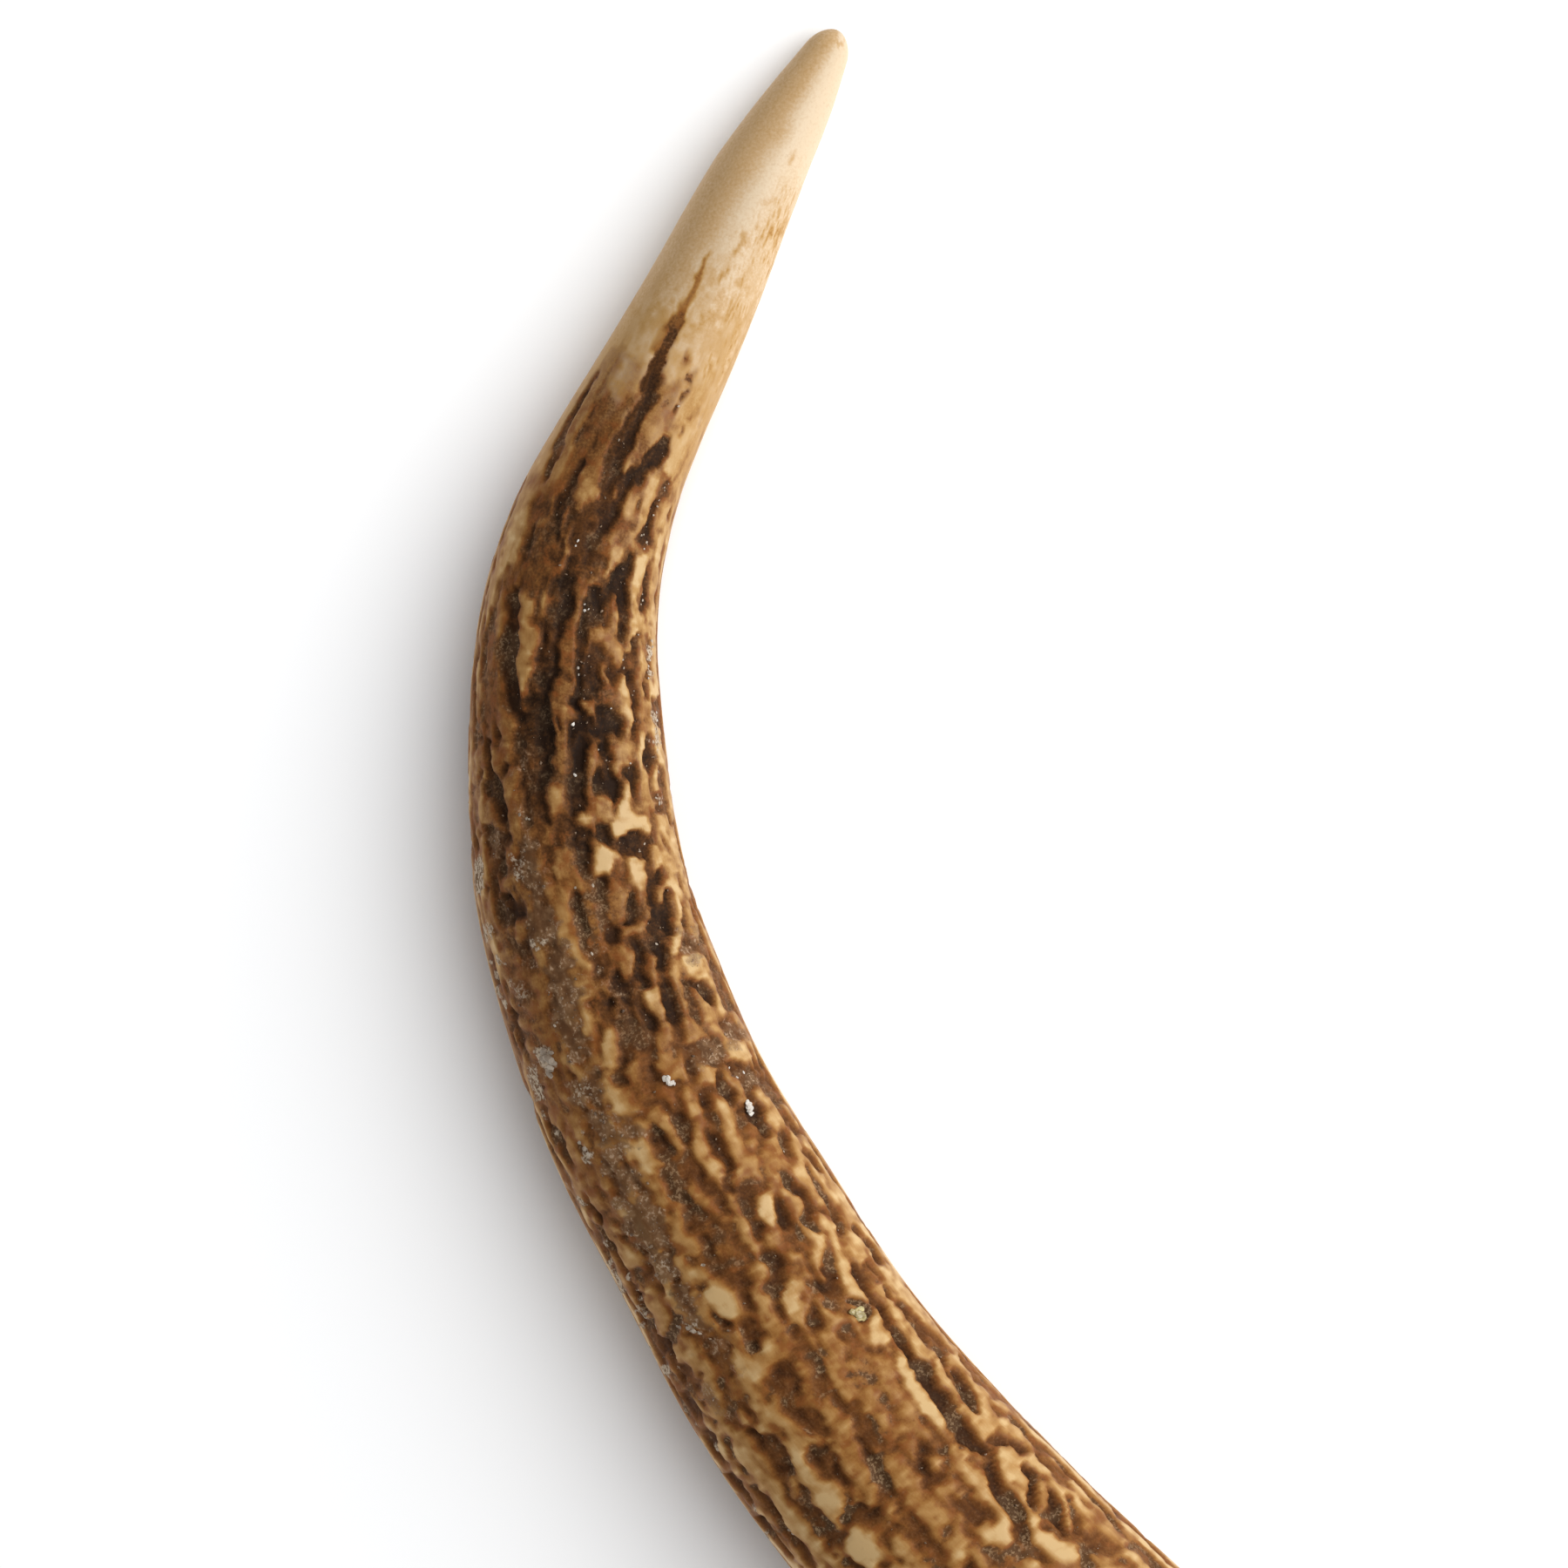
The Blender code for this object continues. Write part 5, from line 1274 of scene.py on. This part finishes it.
# %% The dust
DUST_GRANULES = (0.2, 0.8)                      # from dark dust to pale
DRIFTS, DRIFT_EDGE = 0.3, (0.5, 0.6)            # how many to a millimetre, and their edge
DUST_BETWEEN, DUST_IN_DRIFTS = 0.08, 0.75
DUST_UPPER, DUST_GAIN = 0.25, 0.75              # its share up the shaft, and the rise down it
DUST_TONES = (0.56, 0.36)                       # dust starts to lie, and lies in full


def dust_layer(tree, fine, tone, surface):
    """Dust in the hollows, in drifts."""
    shade = between(tree, fine["granules"], *DUST_GRANULES)
    dust = mix(tree, shade, colour(*DUST_DARK), colour(*DUST_PALE))
    drifts = noise(tree, fine["straight"], DRIFTS, 2)
    dusty = between(tree, drifts, *DRIFT_EDGE, DUST_BETWEEN, DUST_IN_DRIFTS)
    dusty = times(tree, dusty, push(tree, DUST_UPPER, attribute(tree, "warmth"), DUST_GAIN))
    dusty = times(tree, dusty, between(tree, tone, *DUST_TONES))
    return mix(tree, dusty, surface, dust)


# %% The earth
EARTH_SHADES = (0.35, 0.65)                     # patches, from dark earth to pale
BRIGHT_PATCHES, BRIGHT_SHARES = (0.4, 0.62), (0.35, 1.0)
BRIGHT_GRANULES, BRIGHT_STRENGTH = (0.25, 0.9), 0.8
EARTH_SPECKS, EARTH_PATCHY = 0.5, 0.9           # how ragged its edges are
EARTH_EDGE, EARTH_STRENGTH = (0.15, 0.85), 0.88


def earth_layer(tree, fine, surface):
    """Dried earth with bright grains in it, and how far it covers the skin."""
    shade = between(tree, fine["patches"], *EARTH_SHADES)
    earth = mix(tree, shade, colour(*EARTH_DARK), colour(*EARTH_PALE))
    bright = between(tree, fine["patches"], *BRIGHT_PATCHES, *BRIGHT_SHARES)
    bright = times(tree, fine["granules"], bright)
    bright = between(tree, bright, *BRIGHT_GRANULES, 0.0, BRIGHT_STRENGTH)
    earth = mix(tree, bright, earth, colour(*EARTH_GRAINS))
    covered = push(tree, attribute(tree, "earth"), fine["off specks"], EARTH_SPECKS)
    covered = push(tree, covered, fine["off patches"], EARTH_PATCHY)
    covered = between(tree, covered, *EARTH_EDGE, 0.0, EARTH_STRENGTH)
    return mix(tree, covered, surface, earth), covered


# %% The scale, and a painted sheen
SCALE_GRANULES = (0.05, 0.4)                    # from dark scale to pale
SCALE_SPECKS, SCALE_EDGE = 0.9, (0.35, 0.65)


def scale_and_sheen_layer(tree, fine, surface):
    """Pale scale, with a painted sheen in its colours on the right edge, and how far they cover the
    skin.
    """
    shade = between(tree, fine["granules"], *SCALE_GRANULES)
    scale = mix(tree, shade, colour(*DARK_SCALE_AND_SHEEN), colour(*PALE_SCALE_AND_SHEEN))
    scale_and_sheen_cover = push(tree, attribute(tree, "scale"), fine["off specks"], SCALE_SPECKS)
    scale_and_sheen_cover = between(tree, scale_and_sheen_cover, *SCALE_EDGE)
    return mix(tree, scale_and_sheen_cover, surface, scale), scale_and_sheen_cover


# %% [markdown]
# ### Gloss and relief
# The tops are polished by wear and the grooves stayed dull, and the crust of earth and scale
# is dullest. What stands out less than the mesh can show is left to a bump: the fibres, the
# specks and the grains of the crust. A bump costs nothing in the mesh, and at this height
# nobody would see its flat outline.

# %% Gloss and relief
SPECULAR = 0.13
GROOVE_ROUGH, TOP_ROUGH, CRUST_ROUGH = 0.7, 0.42, 0.85
GLOSS_TONES, GLOSS_SPECKS = (0.15, 0.7), 0.3
FIBRE_RELIEF, CRUST_RELIEF = 0.15, 0.8
BUMP_STRENGTH, BUMP_HEIGHT = 0.5, 0.15          # the height is in millimetres


def roughness_of(tree, fine, tone, crusted):
    """Rough grooves, smoother tops, and the roughest crust."""
    rough = between(tree, tone, *GLOSS_TONES, GROOVE_ROUGH, TOP_ROUGH)
    rough = push(tree, rough, fine["off specks"], GLOSS_SPECKS)
    return calculate(tree, "MAXIMUM", rough, times(tree, crusted, CRUST_ROUGH))


def relief_of(tree, fine, raggedness, crusted):
    """A bump of fibres, specks and the grains of the crust."""
    relief = times(tree, fine["fibres"], FIBRE_RELIEF)
    relief = push(tree, relief, fine["specks"], raggedness)
    relief = push(tree, relief, times(tree, fine["grains"], crusted), CRUST_RELIEF)
    inputs = {"Height": relief, "Strength": BUMP_STRENGTH, "Distance": BUMP_HEIGHT * MM}
    return add(tree, "Bump", inputs).outputs[0]


# %% All layers of the skin
def skin_material():
    """The finish of the grown skin: its layers from the bottom up, then gloss and relief."""
    material, shader = new_material("antler skin")
    tree = material.node_tree
    fine = fine_patterns(tree)
    surface, tone, raggedness = dye_layer(tree, fine)
    surface = ivory_layer(tree, fine, tone, surface)
    surface = dust_layer(tree, fine, tone, surface)
    surface, covered = earth_layer(tree, fine, surface)
    surface, scale_and_sheen_cover = scale_and_sheen_layer(tree, fine, surface)
    crusted = calculate(tree, "MAXIMUM", covered, scale_and_sheen_cover)
    rough = roughness_of(tree, fine, tone, crusted)
    bump = relief_of(tree, fine, raggedness, crusted)
    tree.links.new(surface, shader.inputs["Base Color"])
    tree.links.new(rough, shader.inputs["Roughness"])
    tree.links.new(bump, shader.inputs["Normal"])
    shader.inputs["Specular IOR Level"].default_value = SPECULAR
    print("nodes in the skin's finish:", len(tree.nodes))
    return material


# %% [markdown]
# ## The sawn face
# A saw cut through antler shows a dense pale rim, and inside it a spongy core of fine pores.
# The cut was left as it came off the saw, with faint straight scratches, so it stays dull.

# %% The sawn face
RIM_COLOUR, CORE_COLOUR, PORE_COLOUR = (214, 194, 160), (188, 152, 108), (84, 56, 34)
CLOUD_COLOUR = (150, 108, 66)
CORE_EDGE = (0.84, 0.62)                        # shares of the way out: core starts, and is full
PORES, SMALL_PORES = 1.1, 2.3                   # how many to a millimetre
PORE_EDGE, SMALL_PORE_EDGE = (0.42, 0.22), (0.36, 0.16)
SCRATCHES, SCRATCH_SHAPE = 1.4, (0.15, 3.0, 1.0)                # long across the face
CLOUDS, CLOUD_EDGE, CLOUD_STRENGTH = 0.5, (0.35, 0.75), 0.4
SAWN_ROUGH, SCRATCH_RELIEF = (0.62, 0.8), 0.3
SAWN_BUMP, SAWN_DEPTH = 0.7, 0.3                # the depth is in millimetres


def sawn_material():
    """The finish of the saw cut: a dense rim round a core of pores."""
    material, shader = new_material("sawn antler")
    tree = material.node_tree
    straight = attribute(tree, "straight", "Vector")
    core = between(tree, attribute(tree, "from_centre"), *CORE_EDGE)
    pores = add(tree, "TexVoronoi", {"Vector": straight, "Scale": PORES})
    small_pores = add(tree, "TexVoronoi", {"Vector": straight, "Scale": SMALL_PORES})
    hole = calculate(tree, "MAXIMUM", between(tree, pores.outputs["Distance"], *PORE_EDGE),
                     between(tree, small_pores.outputs["Distance"], *SMALL_PORE_EDGE))
    hole = times(tree, hole, core)
    saw_place = add(tree, "Mapping", {"Vector": straight, "Scale": SCRATCH_SHAPE}).outputs[0]
    scratches = noise(tree, saw_place, SCRATCHES, 3)
    clouds = between(tree, noise(tree, straight, CLOUDS, 3), *CLOUD_EDGE, 0.0, CLOUD_STRENGTH)
    surface = mix(tree, core, colour(*RIM_COLOUR), colour(*CORE_COLOUR))
    surface = mix(tree, clouds, surface, colour(*CLOUD_COLOUR))
    surface = mix(tree, hole, surface, colour(*PORE_COLOUR))
    height = push(tree, times(tree, hole, -1.0), scratches, SCRATCH_RELIEF)
    inputs = {"Height": height, "Strength": SAWN_BUMP, "Distance": SAWN_DEPTH * MM}
    bump = add(tree, "Bump", inputs).outputs[0]
    tree.links.new(surface, shader.inputs["Base Color"])
    rough = between(tree, scratches, 0.3, 0.7, *SAWN_ROUGH)
    tree.links.new(rough, shader.inputs["Roughness"])
    tree.links.new(bump, shader.inputs["Normal"])
    print("nodes in the sawn face's finish:", len(tree.nodes))
    return material


# %% Dress the tine
SHARP_ANGLE = 75                                # degrees: only the edge of the cut is sharper

skin.data.materials.clear()
skin.data.materials.append(skin_material())
skin.data.materials.append(sawn_material())
cut_corner = np.array([on_cut[list(face.vertices)].all() for face in skin.data.polygons])
skin.data.polygons.foreach_set("material_index", cut_corner.astype(np.int32))
deselect_everything()
skin.select_set(True)
bpy.context.view_layer.objects.active = skin
bpy.ops.object.shade_smooth_by_angle(angle=math.radians(SHARP_ANGLE))
print("faces of the saw cut:", int(cut_corner.sum()))

# %% [markdown]
# ## Crumbs, painted glints and grit
# Pale crumbs of mineral sit on the skin, and many of the small ones are painted glints, which
# stand in for highlights in the grooves. Fine grit lies in the grooves and on the dried earth.
# A crumb is modelled once, as a small ball knocked out of shape, and copied to each place with
# its own size and turn. All copies are joined, because thousands of separate objects would be
# slow. A grain of grit has 20 faces, and a crumb, of which there are few, 80.

# %% Model one crumb of each kind
KNOCKED, NARROWED = 0.17, 0.85                  # how far corners move, and the width kept


def model_crumb(name, detail, flatness, seed):
    """A lumpy, slightly flattened pebble about 1 across, as points and faces."""
    deselect_everything()
    bpy.ops.mesh.primitive_ico_sphere_add(subdivisions=detail, radius=0.5)
    pebble = bpy.context.active_object
    bpy.ops.object.mode_set(mode="EDIT")
    bpy.ops.mesh.select_all(action="SELECT")
    bpy.ops.transform.vertex_random(offset=KNOCKED, seed=seed)
    bpy.ops.transform.resize(value=(1.0, NARROWED, flatness))
    bpy.ops.object.mode_set(mode="OBJECT")
    corners = np.array([vertex.co for vertex in pebble.data.vertices])
    faces = np.array([list(face.vertices) for face in pebble.data.polygons])
    bpy.data.objects.remove(pebble)
    print(name, "has", len(faces), "faces")
    return corners, faces


CRUMB_SHAPES = [model_crumb("crumb", 2, 0.5, seed) for seed in (1, 2, 3)]
GRAIN_SHAPES = [model_crumb("grain", 1, 0.7, seed) for seed in (4, 5, 6)]


# %% Put copies on the skin
CRUMB_STRETCH = ((0.9, 1.3), (0.7, 1.0), (0.7, 1.0))            # along, across and up
CRUMB_LIFT = 0.3                                # its middle's height, as a share of its size
ASKEW = 0.3                                     # so that a turn never lines up with the way out


def on_skin(distance, degrees):
    """Points on the carved skin in millimetres, and the directions out of it."""
    angle = np.radians(degrees)
    depth = groove_depth(distance, degrees)
    width, height, _ = radii_at(distance)
    place = on_rod(distance, angle, 1 - depth / width)
    _, way = line_at(distance)
    right = np.stack([-way[:, 1], way[:, 0], 0 * width], 1)
    out = right * (np.sin(angle) / width)[:, None]
    out[:, 2] += np.cos(angle) / height
    return place, out / np.linalg.norm(out, axis=1)[:, None]


def scatter(name, shapes, distance, degrees, size, sunk, seed):
    """One mesh with a copy of a shape at each place, sunk by a share of its size."""
    draw = np.random.default_rng(seed)
    place, out = on_skin(distance, degrees)
    corners, faces, count = [], [], 0
    for i in range(len(distance)):
        points, triangles = shapes[draw.integers(len(shapes))]
        turn = draw.uniform(0, 2 * math.pi)
        side = np.cross(out[i], (math.cos(turn), math.sin(turn), ASKEW))
        side /= np.linalg.norm(side)
        axes = np.stack([side, np.cross(out[i], side), out[i]])
        stretch = size[i] * np.array([draw.uniform(*limits) for limits in CRUMB_STRETCH])
        middle = place[i] + out[i] * size[i] * (CRUMB_LIFT - sunk)
        corners.append(points * stretch @ axes + middle)
        faces.append(triangles + count)
        count += len(points)
    mesh = bpy.data.meshes.new(name)
    mesh.from_pydata((np.concatenate(corners) * MM).tolist(), [], np.concatenate(faces).tolist())
    piece = bpy.data.objects.new(name, mesh)
    bpy.context.scene.collection.objects.link(piece)
    print(name, "copies:", len(distance), "faces:", len(mesh.polygons))
    return piece


# %% Crumbs and painted glints at listed places
# Painted glints: most of the small white crumbs stand in for highlights; the larger ones from 129
# on are crumbs.
WHITE_CRUMBS_AND_GLINTS = (    # (distance, angle, size)
    (65.5, -5, 0.35), (66.1, -5.5, 0.3), (72.4, 9, 0.3), (79.8, 8, 0.35), (80.6, 8.5, 0.3),
    (86.4, 4, 0.65), (92.4, 3.7, 0.45), (129.3, 9, 0.8), (129.6, 10.2, 0.95), (130, 11.4, 0.9),
    (130.3, 12.6, 0.65), (131.4, 45, 0.35), (133, 47, 0.4), (132.8, 54, 0.35), (136.5, 43.2, 0.9),
    (136.9, 44, 1.1), (73.1, 9.6, 0.4), (72.9, 12, 0.25), (85.3, 71, 0.35), (86.3, 69, 0.4),
    (84.7, 28, 0.25), (80.8, 60, 0.35), (137.4, 44.8, 1.1), (137.9, 45.6, 0.8),
)
# Painted glints: the small crumbs from (44.8, 28) on stand mostly for highlights in the grooves.
DULL_CRUMBS_AND_GLINTS = (
    (96.5, -29, 0.45), (97, -26.5, 0.5), (97.1, -24.5, 0.4), (121.6, -47, 1.2), (122.6, -45, 1.5),
    (123.6, -46, 1.4), (124.2, -48, 1.1), (122.4, -49.5, 1.1), (123.2, -43, 1.0), (122, -42.5, 0.8),
    (132, -45.5, 0.7), (132.8, -44, 0.8), (133.5, -43, 0.7), (141.5, 57, 0.4), (144, 50, 0.4),
    (150.2, -17, 0.5), (155, -46, 0.5), (155.2, -44, 0.5), (155.7, -39, 0.6), (156.3, -37, 0.7),
    (156.8, -35, 0.6), (119.3, -34, 0.4), (105.3, -3, 0.4), (105.5, 6, 0.45), (113, -3.5, 0.4),
    (112.8, 52, 0.35), (114.2, 33, 0.4), (101.5, 41.5, 0.4), (79.4, -60, 0.4), (180.3, -58, 0.5),
    (44.8, 28, 0.25), (46.6, 27, 0.3), (55.3, 52, 0.22), (55.9, 49, 0.32), (56.2, 50.5, 0.2),
    (57.6, 47.5, 0.28), (58.1, 45.5, 0.22), (58.4, 47, 0.36), (59.6, 46, 0.3), (59.9, 44, 0.2),
    (61.4, 42.5, 0.26), (62.3, 44, 0.22), (62.5, 41.5, 0.3), (63.1, 47.5, 0.38), (63.4, 49, 0.26),
    (64, 45.5, 0.28), (53.2, -6, 0.3), (68.6, -12, 0.3), (69.8, 56, 0.35), (70.6, 57, 0.35),
    (71.2, 54, 0.3), (75.2, 52, 0.3), (75.8, 66, 0.4), (76.6, 68, 0.45), (77.6, 66, 0.4),
    (78.4, 64, 0.4), (79.2, 62, 0.35), (78.6, 37, 0.3), (79.6, 40, 0.3), (80.4, 42, 0.3),
    (89.6, 18, 0.3), (90.9, 23, 0.3), (91.4, 37, 0.3), (95.8, 57, 0.4), (96.5, 59, 0.45),
    (92.6, 63, 0.35), (102.4, 38, 0.3), (179.7, -54.5, 0.4),
)
YELLOW_CRYSTAL = ((163.9, 32, 1.2), (164.5, 33.6, 1.6), (164.8, 32.6, 1.1), (164, 35, 1.1))


def place_crumbs(name, places, sunk, seed):
    """Crumbs where the marks' coordinates say."""
    at, around, size = np.array(places, float).T
    return scatter(name, CRUMB_SHAPES, *settle_marks(at, around), size, sunk, seed)


white_crumbs_and_glints = place_crumbs("white_crumbs_and_glints", WHITE_CRUMBS_AND_GLINTS, 0.2, 7)
dull_crumbs_and_glints = place_crumbs("dull_crumbs_and_glints", DULL_CRUMBS_AND_GLINTS, 0.3, 8)
yellow_crystal = place_crumbs("yellow_crystal", YELLOW_CRYSTAL, 0.2, 10)

# %% Grit scattered in the grooves and on the earth
GRIT_TRIES = 26000
GRIT_SIZE = (0.09, 0.42)                        # most grains are small
GRIT_POWER = 3
GRIT_START = 50                                 # there is none on the tip
GRIT_TONES = (0.1, 0.36)                        # it lies in what is darker than this
GRIT_IN_GROOVES, GRIT_ON_EARTH = 0.22, 0.35     # shares of the tries that are kept
EARTH_GROWTH = 0.5                              # how much larger the grains are on earth
GRIT_SUNK = 0.1

draw = np.random.default_rng(17)
grit_distance = draw.uniform(GRIT_START, LENGTH - 1, GRIT_TRIES)
grit_angle = draw.uniform(-180, 180, GRIT_TRIES)
in_groove = 1 - smooth_step(read_sheet(tone, grit_distance, grit_angle), *GRIT_TONES)
on_earth = read_sheet(earth, grit_distance, grit_angle)
chance = np.maximum(GRIT_IN_GROOVES * in_groove, GRIT_ON_EARTH * on_earth)
kept = draw.uniform(0, 1, GRIT_TRIES) < chance
smallest, largest = GRIT_SIZE
grit_size = smallest + (largest - smallest) * draw.uniform(0, 1, GRIT_TRIES) ** GRIT_POWER
grit_size *= 1 + EARTH_GROWTH * on_earth
groove_grit = scatter("groove_grit", GRAIN_SHAPES, grit_distance[kept], grit_angle[kept],
                      grit_size[kept], GRIT_SUNK, 9)


# %% Crumb and grit finishes
def mineral_material(name, dark, pale, roughness, scale):
    """Dull mineral that changes from grain to grain, also used for the painted glints."""
    material, shader = new_material(name)
    tree = material.node_tree
    place = add(tree, "TexCoord", {}).outputs["Object"]
    cells = add(tree, "TexVoronoi", {"Vector": place, "Scale": scale}).outputs["Color"]
    value = add(tree, "SeparateColor", {"Color": cells}).outputs[0]
    fine = noise(tree, place, scale * 4, 3)
    tree.links.new(mix(tree, value, colour(*dark), colour(*pale)), shader.inputs["Base Color"])
    rough = between(tree, fine, 0.3, 0.7, roughness, roughness + 0.2)
    tree.links.new(rough, shader.inputs["Roughness"])
    bump = add(tree, "Bump", {"Height": fine, "Strength": 0.4, "Distance": 0.05 * MM}).outputs[0]
    tree.links.new(bump, shader.inputs["Normal"])
    return material


# The white and the dull mineral also colour the painted glints.
FINISHES = (        # (piece, name, dark, pale, roughness, cells in a metre)
    (white_crumbs_and_glints, "white mineral and glints", (190, 178, 164), (238, 232, 222), 0.3, 900),
    (dull_crumbs_and_glints, "dull mineral and glints", (142, 122, 102), (206, 190, 170), 0.5, 1400),
    (yellow_crystal, "yellow crystal", (150, 132, 84), (214, 198, 140), 0.25, 1200),
    (groove_grit, "brown grit", (84, 60, 40), (164, 136, 110), 0.5, 2600),
)
for piece, *finish in FINISHES:
    piece.data.materials.append(mineral_material(*finish))

# %% [markdown]
# ## Floor and light
# The tine lies on a white sheet. A soft lamp stands low to the right and models the tine, so
# that its left side falls off. A lamp that low would throw a long shadow, so the sheet has a
# lamp of its own, larger and higher up, and each lamp is linked to what it lights. The sheet
# is a trace cooler than white, because the brown skin throws a warm glow into the shadow.

# %% Floor
FLOOR_HALF = 1.5
SHEET_COLOUR = (243, 244, 245)
deselect_everything()
bpy.ops.mesh.primitive_plane_add(size=2 * FLOOR_HALF)
floor = bpy.context.active_object
floor.name = "floor"
floor_material, floor_shader = new_material("white sheet")
floor_shader.inputs["Base Color"].default_value = colour(*SHEET_COLOUR)
floor_shader.inputs["Roughness"].default_value = 0.9
floor_shader.inputs["Specular IOR Level"].default_value = 0.1
floor.data.materials.append(floor_material)

# %% Lamps and surround
SIDE_LAMP = {"power": 4.3, "size": 0.42, "away": 0.75, "heading": 8, "rise": 37}
SHEET_LAMP = {"power": 8.7, "size": 1.12, "away": 0.7, "heading": 22, "rise": 53}
SURROUND = 0.42


def hang_lamp(name, lit, power, size, away, heading, rise):
    """A round soft lamp in metres and degrees, which lights only the pieces in lit."""
    data = bpy.data.lights.new(name, "AREA")
    data.shape, data.size, data.energy = "DISK", size, power
    lamp = bpy.data.objects.new(name, data)
    bpy.context.scene.collection.objects.link(lamp)
    heading, rise = math.radians(heading), math.radians(rise)
    level = math.cos(rise)
    towards = Vector((math.cos(heading) * level, math.sin(heading) * level, math.sin(rise)))
    lamp.location = PICTURE_CENTRE + towards * away
    lamp.rotation_euler = towards.to_track_quat("Z", "Y").to_euler()
    receivers = bpy.data.collections.new("lit by " + name)
    for piece in lit:
        receivers.objects.link(piece)
    lamp.light_linking.receiver_collection = receivers
    print(name, "at", [round(part, 2) for part in lamp.location])


RIDERS = (skin, white_crumbs_and_glints, dull_crumbs_and_glints, yellow_crystal, groove_grit)
hang_lamp("side lamp", RIDERS, **SIDE_LAMP)
hang_lamp("sheet lamp", [floor], **SHEET_LAMP)
world = bpy.data.worlds.new("surround")
world.use_nodes = True
world.node_tree.nodes["Background"].inputs["Color"].default_value = (1, 1, 1, 1)
world.node_tree.nodes["Background"].inputs["Strength"].default_value = SURROUND
bpy.context.scene.world = world
bpy.context.scene.view_settings.view_transform = "Standard"

# %% [markdown]
# ## Fitting it to the frame
# The skin stands for the imported solid, and the crumbs and the grit ride with it.

# %% Ride and replace
for piece in RIDERS:
    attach(piece, "root")
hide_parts("antler")
